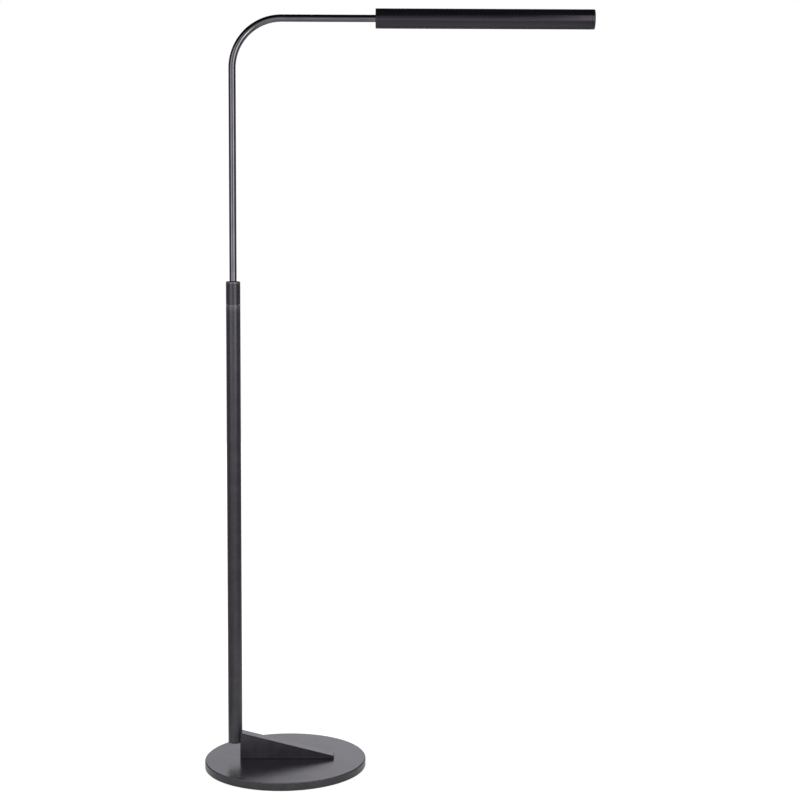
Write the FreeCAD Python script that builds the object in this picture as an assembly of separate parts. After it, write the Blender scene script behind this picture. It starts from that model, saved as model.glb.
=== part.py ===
import FreeCAD, Part
import math
import os

# Adjustable floor lamp: a round steel base, a wedge that carries a tubular pole clear of it, a thin
# bent tube that slides and turns in the pole, and a round linear LED head that turns on the tube's end.
# Millimetres, +Z up. The origin is the centre of the underside, on the floor, and the head is towards +X.

# Clearances
SEAT_GAP = 0.02      # left in every pressed, glued or screwed joint
RUN_GAP = 0.05       # radial clearance of a running fit
FACE_GAP = 0.1       # between faces that turn or slide on each other
FREE_GAP = 0.4       # where a piece only has to clear its neighbour

# Depth of a hexagon socket, as a share of its width across flats
KEY_DEPTH = 0.6

# Base plate and pad
BASE_RADIUS = 125.0
PLATE_THICKNESS = 12.0
PLATE_TOP_CHAMFER = 1.2
PLATE_FOOT_CHAMFER = 0.8
PAD_RADIUS = 119.0
PAD_THICKNESS = 2.0
PAD_RECESS = 1.0

# Wedge between the plate and the pole
WEDGE_LENGTH = 145.5
WEDGE_WIDTH = 20.0
WEDGE_HEIGHT = 41.0
WEDGE_NOSE = 4.7
WEDGE_SEAT_DEPTH = 2.5
WEDGE_EDGE = 0.8
BASE_SCREW_RADIUS = 3.0
BASE_SCREW_HEAD = 6.0
BASE_SCREW_KEY = 4.0
BASE_SCREW_BITE = 11.0
BASE_SCREW_OFFSETS = (18.0, 54.0, 90.0)

# Lower pole and what stands in its foot
POLE_OFFSET = 78.5
POLE_RADIUS = 11.0
POLE_WALL = 1.5
POLE_LENGTH = 682.0
POLE_GAP = 24.0
POLE_FOOT_CHAMFER = 0.6
STUD_RADIUS = 3.0
STUD_RISE = 8.0
STUD_IN_WEDGE = 16.0
STUD_END_WALL = 1.0
PLUG_HEIGHT = 30.0
SET_SCREW_RADIUS = 2.0
SET_SCREW_INSET = 5.5
SET_SCREW_KEY = 2.0
LEAD_BORE = 3.0
LEAD_OFFSET = 4.6
BUSHING_FLANGE = 1.4
BUSHING_LIP = 1.5
BUSHING_DEPTH = 6.0
BUSHING_WALL = 1.0

# Thin tube with its bend
TUBE_RADIUS = 5.5
TUBE_WALL = 1.0
BEND_RADIUS = 75.0
ARM_HEIGHT = 1151.0
HEAD_REACH = 217.0
LIFT_RESERVE = 42.0

# Telescope lock in the pole's top
NIPPLE_DEPTH = 30.0
NIPPLE_THREAD = 16.0
NIPPLE_WALL = 1.75
COLLAR_HEIGHT = 35.8
COLLAR_WALL = 2.0
COLLAR_SEAM = 0.2
COLLAR_TOP_CHAMFER = 2.0
SEAM_CHAMFER = 0.15
THREAD_CHAMFER = 0.35
COLLET_FOOT = 4.0
COLLET_BASE = 7.0
COLLET_NOSE = 10.0
COLLET_NOSE_TAPER = 1.7
COLLET_SLOTS = 4
COLLET_SLOT_WIDTH = 1.2
WIPER_HEIGHT = 3.6
WIPER_INSET = 0.4
WIPER_WALL = 3.0
WIPER_GAP = 0.2

# Guide bush and the ring that stops the turn
BUSH_HEIGHT = 24.0
STOP_LUG_HEIGHT = 3.0
STOP_LUG_ANGLE = 14.0
STOP_COLLAR_HEIGHT = 5.0
STOP_PIN_RADIUS = 1.25
RETAINING_RING_HEIGHT = 2.0
RETAINING_RING_WALL = 3.0
RETAINING_RING_MOUTH = 50.0
TUBE_END_BELOW_RING = 3.0

# Head: extruded shell, caps and lens
HEAD_LENGTH = 331.0
HEAD_RADIUS = 15.0
HEAD_WALL = 2.0
CAP_THICKNESS = 5.0
CAP_EDGE_CHAMFER = 0.4
CAP_SEAM_CHAMFER = 0.3
CAP_BOSS = 4.0
OUTER_BOSS = 3.0
SLOT_HALF = 4.5
SLOT_LIP_CHAMFER = 0.3
LENS_FLANGE_HALF = 6.5
LENS_FLANGE_THICKNESS = 1.5
LENS_INSET = 1.6
RAIL_THICKNESS = 1.0
LEDGE_THICKNESS = 1.5
SCREW_PORT_WALL = 1.1
SCREW_PORT_ANGLES = (50.0, 130.0)
CAP_SCREW_RADIUS = 1.1
CAP_SCREW_HEAD = 2.2
CAP_SCREW_KEY = 1.5
CAP_SCREW_BITE = 12.0

# Friction swivel in the head's inner cap
TUBE_IN_CAP = 2.5
SPINDLE_RADIUS = 4.0
SPINDLE_BORE = 2.5
SPINDLE_IN_TUBE = 18.0
SPINDLE_TAIL = 2.0
FRICTION_WASHER = 0.5
SWIVEL_BUSH_WALL = 1.55
SWIVEL_BUSH_FLANGE = 1.0
SWIVEL_BUSH_RIM = 1.2
STOP_WASHER = 1.5
STOP_TAB_ANGLE = 24.0
SWIVEL_PIN_RADIUS = 0.9
SWIVEL_PIN_REACH = 3.2
SWIVEL_TURN = 90.0
SWIVEL_TURN_SPARE = 3.0
DISC_SPRING_SHEET = 0.4
DISC_SPRING_CONE = 0.6
NUT_ACROSS_FLATS = 12.0
NUT_HEIGHT = 3.5

# Light engine
CARRIER_THICKNESS = 2.5
CARRIER_FINS = 7
CARRIER_FIN_HEIGHT = 3.5
CARRIER_FIN_WIDTH = 1.2
CARRIER_FIN_PITCH = 2.6
BOARD_HALF = 8.0
BOARD_THICKNESS = 1.6
BOARD_START = 24.0
CHIP_SIZE = 3.0
CHIP_HEIGHT = 0.7
CHIP_PITCH = 12.0
FIRST_CHIP = 50.0
CHIPS_PER_SCREW = 6
BOARD_SCREW_RADIUS = 1.25
BOARD_SCREW_HEAD = 2.4
BOARD_SCREW_HEAD_HEIGHT = 1.5
TERMINAL_LENGTH = 7.0
TERMINAL_HALF = 4.0
TERMINAL_HEIGHT = 4.0
TERMINAL_HOLE = 1.1

# Push switch
BUTTON_PLACE = 36.0
BUTTON_RADIUS = 3.0
BUTTON_PROUD = 0.3
BUTTON_TRAVEL = 0.8
BUTTON_FLANGE_RIM = 1.2
BUTTON_FLANGE = 1.0
BUTTON_STEM = 1.5
SWITCH_HALF = 3.0
SWITCH_HEIGHT = 3.5
SWITCH_PLUNGER = 1.7
SWITCH_PLUNGER_HEIGHT = 0.8

# Heights that follow from these
PLATE_BOTTOM = PAD_THICKNESS - PAD_RECESS
PLATE_TOP = PLATE_BOTTOM + PLATE_THICKNESS
POLE_X = -POLE_OFFSET
POLE_FOOT = PLATE_TOP + POLE_GAP
POLE_TOP = POLE_FOOT + POLE_LENGTH
POLE_BORE = POLE_RADIUS - POLE_WALL
STUD_Z = POLE_FOOT + STUD_RISE
WEDGE_END = POLE_X + POLE_RADIUS - WEDGE_SEAT_DEPTH
LEAD_X = POLE_X - LEAD_OFFSET
STUD_HOLE_END = LEAD_X + LEAD_BORE + STUD_END_WALL
SET_SCREW_X = POLE_X + POLE_BORE - SET_SCREW_INSET

# The nipple's thread runs in the collar, the collet stands in the nipple
THREAD_RADIUS = POLE_RADIUS - COLLAR_WALL
NIPPLE_TOP = POLE_TOP + NIPPLE_THREAD
COLLET_SEAT = POLE_TOP + COLLET_FOOT
COLLET_POCKET = THREAD_RADIUS - NIPPLE_WALL
COLLET_BORE = TUBE_RADIUS + RUN_GAP
NOSE_FOOT = NIPPLE_TOP + FREE_GAP
NOSE_TOP = NOSE_FOOT + COLLET_NOSE
NOSE_WIDE = THREAD_RADIUS - FREE_GAP
NOSE_NARROW = NOSE_WIDE - COLLET_NOSE_TAPER
COLLAR_FOOT = POLE_TOP + COLLAR_SEAM
COLLAR_TOP = POLE_TOP + COLLAR_HEIGHT
WIPER_SEAT = COLLAR_TOP - WIPER_INSET - WIPER_HEIGHT
TUBE_PASSAGE = TUBE_RADIUS + FREE_GAP

# The stack on the tube's lower end hangs LIFT_RESERVE below the nipple
STOP_COLLAR_TOP = POLE_TOP - NIPPLE_DEPTH - LIFT_RESERVE
STOP_COLLAR_FOOT = STOP_COLLAR_TOP - STOP_COLLAR_HEIGHT
BUSH_TOP = STOP_COLLAR_FOOT - STOP_LUG_HEIGHT - FACE_GAP
BUSH_FOOT = BUSH_TOP - BUSH_HEIGHT
RING_TOP = BUSH_FOOT - FACE_GAP
TUBE_FOOT = RING_TOP - RETAINING_RING_HEIGHT - TUBE_END_BELOW_RING
STOP_LUG_INNER = TUBE_RADIUS + FREE_GAP
STOP_LUG_OUTER = POLE_BORE - FREE_GAP

# Places along the head's axis
HEAD_START = POLE_X + HEAD_REACH
HEAD_END = HEAD_START + HEAD_LENGTH
SHELL_START = HEAD_START + CAP_THICKNESS
SHELL_END = HEAD_END - CAP_THICKNESS
BUSH_FACE = HEAD_START + TUBE_IN_CAP + RUN_GAP + FRICTION_WASHER
BOSS_FACE = SHELL_START + CAP_BOSS
STOP_WASHER_FACE = BOSS_FACE + SWIVEL_BUSH_FLANGE + FACE_GAP
SPRING_FACE = STOP_WASHER_FACE + STOP_WASHER
NUT_FACE = SPRING_FACE + DISC_SPRING_SHEET + DISC_SPRING_CONE
SPINDLE_END = NUT_FACE + NUT_HEIGHT + SPINDLE_TAIL
BOARD_FROM = HEAD_START + BOARD_START
BOARD_TO = SHELL_END - OUTER_BOSS - FREE_GAP

# Heights inside the head, measured from its axis
SHELL_BORE = HEAD_RADIUS - HEAD_WALL
LENS_SEAT = -math.sqrt(SHELL_BORE**2 - (LENS_FLANGE_HALF + FREE_GAP)**2)
LENS_TOP = LENS_SEAT + LENS_FLANGE_THICKNESS
LENS_FACE = -math.sqrt(HEAD_RADIUS**2 - SLOT_HALF**2) + LENS_INSET
RAIL_FOOT = LENS_TOP + FACE_GAP
RAIL_TOP = RAIL_FOOT + RAIL_THICKNESS
BOSS_RADIUS = -LENS_TOP - FACE_GAP
LEDGE_HALF = BOSS_RADIUS + FREE_GAP + SEAT_GAP
CARRIER_HALF = math.sqrt(SHELL_BORE**2 - CARRIER_THICKNESS**2) - FREE_GAP
PORT_RADIUS = CAP_SCREW_RADIUS + SCREW_PORT_WALL
PORT_CIRCLE = SHELL_BORE - CAP_SCREW_RADIUS
SWIVEL_BUSH_OUTER = SPINDLE_RADIUS + RUN_GAP + SWIVEL_BUSH_WALL
SWIVEL_RIM_RADIUS = SWIVEL_BUSH_OUTER + SWIVEL_BUSH_RIM
SWIVEL_PIN_CIRCLE = (SWIVEL_RIM_RADIUS + BOSS_RADIUS) / 2
STOP_TAB_REACH = SWIVEL_PIN_CIRCLE + SWIVEL_PIN_RADIUS
BUTTON_X = HEAD_START + BUTTON_PLACE
BUTTON_FACE = LENS_FACE - BUTTON_PROUD


def point(x, y, z):
    return FreeCAD.Vector(x, y, z)


UP = point(0, 0, 1)
ALONG = point(1, 0, 0)
ACROSS = point(0, 1, 0)


def post(radius, low, high, x=POLE_X, y=0.0):
    """Upright cylinder between two heights, on the pole's axis unless told otherwise."""
    return Part.makeCylinder(radius, high - low, point(x, y, low), UP)


def ring(outer, inner, low, high):
    """Upright ring on the pole's axis."""
    return post(outer, low, high).cut(post(inner, low, high))


def rod(radius, start, end, y=0.0, z=0.0):
    """Cylinder along the head's axis, moved sideways by y and z."""
    return Part.makeCylinder(radius, end - start, point(start, y, ARM_HEIGHT + z), ALONG)


def washer(outer, inner, start, end):
    """Ring on the head's axis."""
    return rod(outer, start, end).cut(rod(inner, start, end))


def bar(start, end, y_low, y_high, z_low, z_high):
    """Rectangular bar in the head, its heights measured from the head's axis."""
    corner = point(start, y_low, ARM_HEIGHT + z_low)
    return Part.makeBox(end - start, y_high - y_low, z_high - z_low, corner)


def turned(outline, x=POLE_X):
    """Solid of revolution about an upright axis, from (radius, height) corners."""
    corners = [point(x + radius, 0, height) for radius, height in outline]
    face = Part.Face(Part.makePolygon(corners + corners[:1]))
    return face.revolve(point(x, 0, 0), UP, 360)


def turned_along(outline):
    """Solid of revolution about the head's axis, from (radius, x) corners."""
    corners = [point(x, 0, ARM_HEIGHT + radius) for radius, x in outline]
    face = Part.Face(Part.makePolygon(corners + corners[:1]))
    return face.revolve(point(0, 0, ARM_HEIGHT), ALONG, 360)


def sector(outer, inner, low, high, middle, width):
    """Part of an upright ring on the pole's axis, width degrees wide around the angle middle."""
    start = math.radians(middle - width / 2)
    edge = Part.makeLine(
        point(POLE_X + inner * math.cos(start), inner * math.sin(start), low),
        point(POLE_X + outer * math.cos(start), outer * math.sin(start), low),
    )
    face = edge.revolve(point(POLE_X, 0, 0), UP, width)
    return face.extrude(point(0, 0, high - low))


def circle_edges(shape, radius, height, x=0.0):
    """Full circles of one radius that lie at one height about the upright axis at x."""
    found = []
    for edge in shape.Edges:
        curve = edge.Curve
        if not isinstance(curve, Part.Circle):
            continue
        centre = curve.Center
        level = abs(centre.z - height) < 1e-6 and abs(centre.x - x) < 1e-6
        if level and abs(curve.Radius - radius) < 1e-6:
            found.append(edge)
    return found


def head_circle_edges(shape, radius, x):
    """Circles of one radius about the head's axis that lie at one x."""
    found = []
    for edge in shape.Edges:
        curve = edge.Curve
        if not isinstance(curve, Part.Circle):
            continue
        centre = curve.Center
        central = abs(centre.x - x) < 1e-6 and abs(centre.z - ARM_HEIGHT) < 1e-6
        if central and abs(curve.Radius - radius) < 1e-6:
            found.append(edge)
    return found


def save(name, shape):
    """Write one node, after a check that each of its solids is sound."""
    if not shape.isValid() or not shape.Solids:
        raise ValueError(name + " is not a sound solid")
    shape.exportStep("parts/" + name + ".step")
    print(name, len(shape.Solids), round(shape.Volume, 1))


def hexagon(across_flats, start, reach):
    """Hexagonal prism from a point along a vector, which is upright or along the head."""
    corner_radius = across_flats / math.sqrt(3)
    corners = []
    for step in range(6):
        turn = math.radians(60 * step)
        side = corner_radius * math.cos(turn)
        far = corner_radius * math.sin(turn)
        corners.append(start + (point(side, far, 0) if reach.z else point(0, side, far)))
    face = Part.Face(Part.makePolygon(corners + corners[:1]))
    return face.extrude(reach)


# Base

def screw_places():
    """The base screws' x positions, counted from the wedge's tall end."""
    return [WEDGE_END + offset for offset in BASE_SCREW_OFFSETS]


def countersunk(radius, head_radius, face, tip, x):
    """Upright screw shape with a 90 degree head whose flat face is at the height face."""
    neck = face + head_radius - radius
    return turned([(0, face), (head_radius, face), (radius, neck), (radius, tip), (0, tip)], x)


def base_plate():
    plate = post(BASE_RADIUS, PLATE_BOTTOM, PLATE_TOP, 0)
    plate = plate.makeChamfer(PLATE_TOP_CHAMFER, circle_edges(plate, BASE_RADIUS, PLATE_TOP))
    plate = plate.makeChamfer(PLATE_FOOT_CHAMFER, circle_edges(plate, BASE_RADIUS, PLATE_BOTTOM))
    plate = plate.cut(post(PAD_RADIUS + FREE_GAP, PLATE_BOTTOM, PAD_THICKNESS, 0))
    for x in screw_places():
        hole = countersunk(
            BASE_SCREW_RADIUS + SEAT_GAP, BASE_SCREW_HEAD + SEAT_GAP, PAD_THICKNESS, PLATE_TOP, x
        )
        plate = plate.cut(hole)
    return plate


def base_pad():
    return post(PAD_RADIUS, 0, PAD_THICKNESS, 0)


def base_screws():
    """Flat-headed screws with a hexagon socket, hidden by the pad."""
    screws = []
    for x in screw_places():
        face = PAD_THICKNESS + FACE_GAP
        tip = PLATE_TOP + BASE_SCREW_BITE
        screw = countersunk(BASE_SCREW_RADIUS, BASE_SCREW_HEAD - FACE_GAP, face, tip, x)
        socket = hexagon(BASE_SCREW_KEY, point(x, 0, face), UP * BASE_SCREW_KEY * KEY_DEPTH)
        screws.append(screw.cut(socket))
    return Part.makeCompound(screws)


def wedge_bracket():
    """Tapered block with a hollow seat for the pole in its tall end."""
    half = WEDGE_WIDTH / 2
    nose = WEDGE_END + WEDGE_LENGTH
    corners = [
        point(WEDGE_END, -half, PLATE_TOP),
        point(nose, -half, PLATE_TOP),
        point(nose, -half, PLATE_TOP + WEDGE_NOSE),
        point(WEDGE_END, -half, PLATE_TOP + WEDGE_HEIGHT),
    ]
    face = Part.Face(Part.makePolygon(corners + corners[:1]))
    wedge = face.extrude(ACROSS * WEDGE_WIDTH)
    wedge = wedge.makeChamfer(WEDGE_EDGE, wedge.Edges)
    wedge = wedge.cut(post(POLE_RADIUS + SEAT_GAP, PLATE_TOP, PLATE_TOP + WEDGE_HEIGHT))
    hole_end = WEDGE_END + STUD_IN_WEDGE + FACE_GAP
    wedge = wedge.cut(level_pin(STUD_RADIUS + SEAT_GAP, POLE_X, hole_end))
    for x in screw_places():
        tip = PLATE_TOP + BASE_SCREW_BITE + FACE_GAP
        wedge = wedge.cut(post(BASE_SCREW_RADIUS + SEAT_GAP, PLATE_TOP, tip, x))
    return wedge


def level_pin(radius, start, end):
    """Level cylinder along X at the stud's height."""
    return Part.makeCylinder(radius, end - start, point(start, 0, STUD_Z), ALONG)


def wedge_stud():
    stud = level_pin(STUD_RADIUS, STUD_HOLE_END + FACE_GAP, WEDGE_END + STUD_IN_WEDGE)
    ends = [edge for edge in stud.Edges if isinstance(edge.Curve, Part.Circle)]
    return stud.makeChamfer(WEDGE_EDGE, ends)


# Lower pole

def lower_pole():
    pole = ring(POLE_RADIUS, POLE_BORE, POLE_FOOT, POLE_TOP)
    foot = circle_edges(pole, POLE_RADIUS, POLE_FOOT, POLE_X)
    pole = pole.makeChamfer(min(POLE_FOOT_CHAMFER, POLE_WALL * 0.6), foot)
    top = circle_edges(pole, POLE_RADIUS, POLE_TOP, POLE_X)
    pole = pole.makeChamfer(min(SEAM_CHAMFER, POLE_WALL * 0.6), top)
    return pole.cut(level_pin(STUD_RADIUS + SEAT_GAP, POLE_X, WEDGE_END + STUD_RADIUS))


def pole_foot_plug():
    plug = post(POLE_BORE - SEAT_GAP, POLE_FOOT, POLE_FOOT + PLUG_HEIGHT)
    plug = plug.cut(post(LEAD_BORE, POLE_FOOT, POLE_FOOT + PLUG_HEIGHT, LEAD_X))
    plug = plug.cut(level_pin(STUD_RADIUS + SEAT_GAP, STUD_HOLE_END, POLE_X + POLE_RADIUS))
    return plug.cut(post(SET_SCREW_RADIUS + SEAT_GAP, POLE_FOOT, STUD_Z, SET_SCREW_X))


def stud_set_screw():
    """Grub screw that comes up through the plug and bears on the stud."""
    low = POLE_FOOT + FREE_GAP
    high = STUD_Z - STUD_RADIUS - SEAT_GAP
    screw = post(SET_SCREW_RADIUS, low, high, SET_SCREW_X)
    socket = hexagon(SET_SCREW_KEY, point(SET_SCREW_X, 0, low), UP * SET_SCREW_KEY * KEY_DEPTH)
    return screw.cut(socket)


def cord_bushing():
    """Flanged rubber bush that lines the cord's way out of the plug."""
    low = POLE_FOOT - BUSHING_LIP
    high = POLE_FOOT + BUSHING_DEPTH
    flange = post(LEAD_BORE + BUSHING_FLANGE, low, POLE_FOOT, LEAD_X)
    sleeve = post(LEAD_BORE - SEAT_GAP, POLE_FOOT, high, LEAD_X)
    bore = post(LEAD_BORE - BUSHING_WALL, low, high, LEAD_X)
    return flange.fuse(sleeve).cut(bore).removeSplitter()


# Telescope lock

def pole_nipple():
    """Pressed into the pole, threaded outside for the collar and bored for the collet."""
    shank = POLE_BORE - SEAT_GAP
    low = POLE_TOP - NIPPLE_DEPTH
    return turned([
        (TUBE_PASSAGE, low),
        (shank - THREAD_CHAMFER, low),
        (shank, low + THREAD_CHAMFER),
        (shank, POLE_TOP),
        (THREAD_RADIUS, POLE_TOP),
        (THREAD_RADIUS, NIPPLE_TOP - THREAD_CHAMFER),
        (THREAD_RADIUS - THREAD_CHAMFER, NIPPLE_TOP),
        (COLLET_POCKET, NIPPLE_TOP),
        (COLLET_POCKET, COLLET_SEAT),
        (TUBE_PASSAGE, COLLET_SEAT),
    ])


def nose_radius(height):
    """Radius of the collet's cone at a height."""
    share = (height - NOSE_FOOT) / (NOSE_TOP - NOSE_FOOT)
    return NOSE_WIDE + share * (NOSE_NARROW - NOSE_WIDE)


def clamp_collet():
    """Split sleeve: a solid foot in the nipple, and fingers whose cone the collar presses inwards."""
    shank = COLLET_POCKET - SEAT_GAP
    collet = turned([
        (COLLET_BORE, COLLET_SEAT),
        (shank, COLLET_SEAT),
        (shank, NIPPLE_TOP + FACE_GAP),
        (NOSE_WIDE, NOSE_FOOT),
        (NOSE_NARROW, NOSE_TOP),
        (COLLET_BORE, NOSE_TOP),
    ])
    half = COLLET_SLOT_WIDTH / 2
    low = COLLET_SEAT + COLLET_BASE
    for number in range(COLLET_SLOTS):
        slot = Part.makeBox(
            THREAD_RADIUS, COLLET_SLOT_WIDTH, NOSE_TOP - low, point(POLE_X, -half, low)
        )
        slot.rotate(point(POLE_X, 0, 0), UP, 360.0 * number / COLLET_SLOTS + 45)
        collet = collet.cut(slot)
    return collet


def lock_collar():
    """Sleeve as thick as the pole, threaded at its foot, coned inside and open at the top."""
    cone_foot = NIPPLE_TOP + FREE_GAP
    cone_top = NOSE_TOP + FREE_GAP
    return turned([
        (THREAD_RADIUS + RUN_GAP, COLLAR_FOOT),
        (POLE_RADIUS - SEAM_CHAMFER, COLLAR_FOOT),
        (POLE_RADIUS, COLLAR_FOOT + SEAM_CHAMFER),
        (POLE_RADIUS, COLLAR_TOP - COLLAR_TOP_CHAMFER),
        (POLE_RADIUS - COLLAR_TOP_CHAMFER, COLLAR_TOP),
        (TUBE_RADIUS + WIPER_WALL, COLLAR_TOP),
        (TUBE_RADIUS + WIPER_WALL, WIPER_SEAT),
        (TUBE_PASSAGE, WIPER_SEAT),
        (TUBE_PASSAGE, cone_top),
        (nose_radius(cone_top) + FACE_GAP, cone_top),
        (nose_radius(cone_foot) + FACE_GAP, cone_foot),
        (THREAD_RADIUS + RUN_GAP, cone_foot),
    ])


def wiper_ring():
    """Soft ring let into the collar's top."""
    outer = TUBE_RADIUS + WIPER_WALL - SEAT_GAP
    inner = TUBE_RADIUS + WIPER_GAP
    return ring(outer, inner, WIPER_SEAT, WIPER_SEAT + WIPER_HEIGHT)


# Slider and the tube's lower end

def guide_bush():
    """Plastic bush with a lug on its top face that the stop collar's lug meets."""
    body = ring(POLE_BORE - RUN_GAP, TUBE_RADIUS + RUN_GAP, BUSH_FOOT, BUSH_TOP)
    lug = sector(
        STOP_LUG_OUTER, STOP_LUG_INNER, BUSH_TOP - FACE_GAP, BUSH_TOP + STOP_LUG_HEIGHT, 180,
        STOP_LUG_ANGLE,
    )
    return body.fuse(lug).removeSplitter()


def stop_pin(radius, start, end):
    """Level cylinder across the pole's axis, towards +Y, halfway up the stop collar."""
    middle = (STOP_COLLAR_FOOT + STOP_COLLAR_TOP) / 2
    return Part.makeCylinder(radius, end - start, point(POLE_X, start, middle), ACROSS)


def stop_collar():
    """Ring pinned to the tube, with a lug that hangs beside the bush's lug."""
    body = ring(STOP_LUG_OUTER, TUBE_RADIUS + SEAT_GAP, STOP_COLLAR_FOOT, STOP_COLLAR_TOP)
    lug = sector(
        STOP_LUG_OUTER, STOP_LUG_INNER, STOP_COLLAR_FOOT - STOP_LUG_HEIGHT, STOP_COLLAR_FOOT + FACE_GAP,
        0, STOP_LUG_ANGLE,
    )
    body = body.fuse(lug).removeSplitter()
    return body.cut(stop_pin(STOP_PIN_RADIUS + SEAT_GAP, 0, POLE_RADIUS))


def stop_collar_pin():
    return stop_pin(STOP_PIN_RADIUS, TUBE_RADIUS - TUBE_WALL, STOP_LUG_OUTER - FACE_GAP)


def retaining_ring():
    """Open ring crimped on the tube below the bush."""
    low = RING_TOP - RETAINING_RING_HEIGHT
    outer = min(TUBE_RADIUS + RETAINING_RING_WALL, STOP_LUG_OUTER)
    body = ring(outer, TUBE_RADIUS + SEAT_GAP, low, RING_TOP)
    mouth = sector(POLE_BORE, TUBE_RADIUS - TUBE_WALL, low, RING_TOP, 90, RETAINING_RING_MOUTH)
    return body.cut(mouth)


def tube_along_bend(radius):
    """Solid rod along the arm's centre line: upright, a quarter bend, then level to the head."""
    bend_foot = ARM_HEIGHT - BEND_RADIUS
    level_start = POLE_X + BEND_RADIUS
    start = Part.makeCylinder(radius, bend_foot - TUBE_FOOT, point(POLE_X, 0, TUBE_FOOT), UP)
    section = Part.Face(Part.Wire(Part.makeCircle(radius, point(POLE_X, 0, bend_foot), UP)))
    bend = section.revolve(point(level_start, 0, bend_foot), ACROSS, 90)
    level = rod(radius, level_start, HEAD_START + TUBE_IN_CAP)
    return start.fuse([bend, level]).removeSplitter()


def upper_tube():
    tube = tube_along_bend(TUBE_RADIUS).cut(tube_along_bend(TUBE_RADIUS - TUBE_WALL))
    return tube.cut(stop_pin(STOP_PIN_RADIUS + SEAT_GAP, 0, TUBE_RADIUS + FREE_GAP))


# Friction swivel

def swivel_spindle():
    """Hollow spindle pressed into the tube's end, flattened on two sides for the stop washer."""
    shoulder = HEAD_START + TUBE_IN_CAP
    shank = TUBE_RADIUS - TUBE_WALL - SEAT_GAP
    body = turned_along([
        (SPINDLE_BORE, shoulder - SPINDLE_IN_TUBE),
        (shank, shoulder - SPINDLE_IN_TUBE),
        (shank, shoulder),
        (SPINDLE_RADIUS, shoulder),
        (SPINDLE_RADIUS, SPINDLE_END - THREAD_CHAMFER),
        (SPINDLE_RADIUS - THREAD_CHAMFER, SPINDLE_END),
        (SPINDLE_BORE, SPINDLE_END),
    ])
    for side in flats(SEAT_GAP):
        body = body.cut(side)
    return body


def flats(gap):
    """The two slabs that a keyed washer leaves beside the spindle."""
    depth = (SPINDLE_RADIUS - SPINDLE_BORE) / 3
    edge = SPINDLE_RADIUS - depth - gap
    start = STOP_WASHER_FACE - FACE_GAP / 2
    near = bar(start, SPINDLE_END, edge, SPINDLE_RADIUS, -SPINDLE_RADIUS, SPINDLE_RADIUS)
    far = bar(start, SPINDLE_END, -SPINDLE_RADIUS, -edge, -SPINDLE_RADIUS, SPINDLE_RADIUS)
    return near, far


def friction_washer():
    start = HEAD_START + TUBE_IN_CAP
    return washer(TUBE_RADIUS - SEAT_GAP, SPINDLE_RADIUS + SEAT_GAP, start, start + FRICTION_WASHER)


def swivel_bush():
    end = BOSS_FACE + SWIVEL_BUSH_FLANGE
    inner = SPINDLE_RADIUS + RUN_GAP
    return turned_along([
        (inner, BUSH_FACE),
        (SWIVEL_BUSH_OUTER - SEAT_GAP, BUSH_FACE),
        (SWIVEL_BUSH_OUTER - SEAT_GAP, BOSS_FACE),
        (SWIVEL_RIM_RADIUS, BOSS_FACE),
        (SWIVEL_RIM_RADIUS, end),
        (inner, end),
    ])


def stop_washer():
    """Washer keyed to the spindle, with a tab that meets the cap's pins."""
    end = STOP_WASHER_FACE + STOP_WASHER
    body = rod(SWIVEL_RIM_RADIUS, STOP_WASHER_FACE, end)
    half = math.radians(STOP_TAB_ANGLE / 2)
    corners = []
    for turn in (-half, half):
        y = STOP_TAB_REACH * math.sin(turn)
        z = ARM_HEIGHT + STOP_TAB_REACH * math.cos(turn)
        corners.append(point(STOP_WASHER_FACE, y, z))
    crown = Part.Arc(corners[0], point(STOP_WASHER_FACE, 0, ARM_HEIGHT + STOP_TAB_REACH), corners[1])
    centre = point(STOP_WASHER_FACE, 0, ARM_HEIGHT)
    sides = [Part.makeLine(corners[1], centre), Part.makeLine(centre, corners[0])]
    tab = Part.Face(Part.Wire([crown.toShape()] + sides)).extrude(ALONG * STOP_WASHER)
    keyed_hole = rod(SPINDLE_RADIUS + SEAT_GAP, STOP_WASHER_FACE, end)
    for side in flats(0.0):
        keyed_hole = keyed_hole.cut(side)
    return body.fuse(tab).removeSplitter().cut(keyed_hole)


def disc_spring():
    """Coned washer between the stop washer and the nut."""
    inner = SPINDLE_RADIUS + SEAT_GAP
    outer = SWIVEL_RIM_RADIUS - FREE_GAP
    return turned_along([
        (inner, SPRING_FACE + DISC_SPRING_CONE),
        (outer, SPRING_FACE),
        (outer, SPRING_FACE + DISC_SPRING_SHEET),
        (inner, SPRING_FACE + DISC_SPRING_CONE + DISC_SPRING_SHEET),
    ])


def spindle_nut():
    nut = hexagon(NUT_ACROSS_FLATS, point(NUT_FACE, 0, ARM_HEIGHT), ALONG * NUT_HEIGHT)
    return nut.cut(rod(SPINDLE_RADIUS + SEAT_GAP, NUT_FACE, NUT_FACE + NUT_HEIGHT))


# Head shell and caps

def port_places():
    """Centres of the screw ports, as (y, z) from the head's axis."""
    places = []
    for angle in SCREW_PORT_ANGLES:
        turn = math.radians(angle)
        places.append((PORT_CIRCLE * math.cos(turn), PORT_CIRCLE * math.sin(turn)))
    return places


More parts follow.
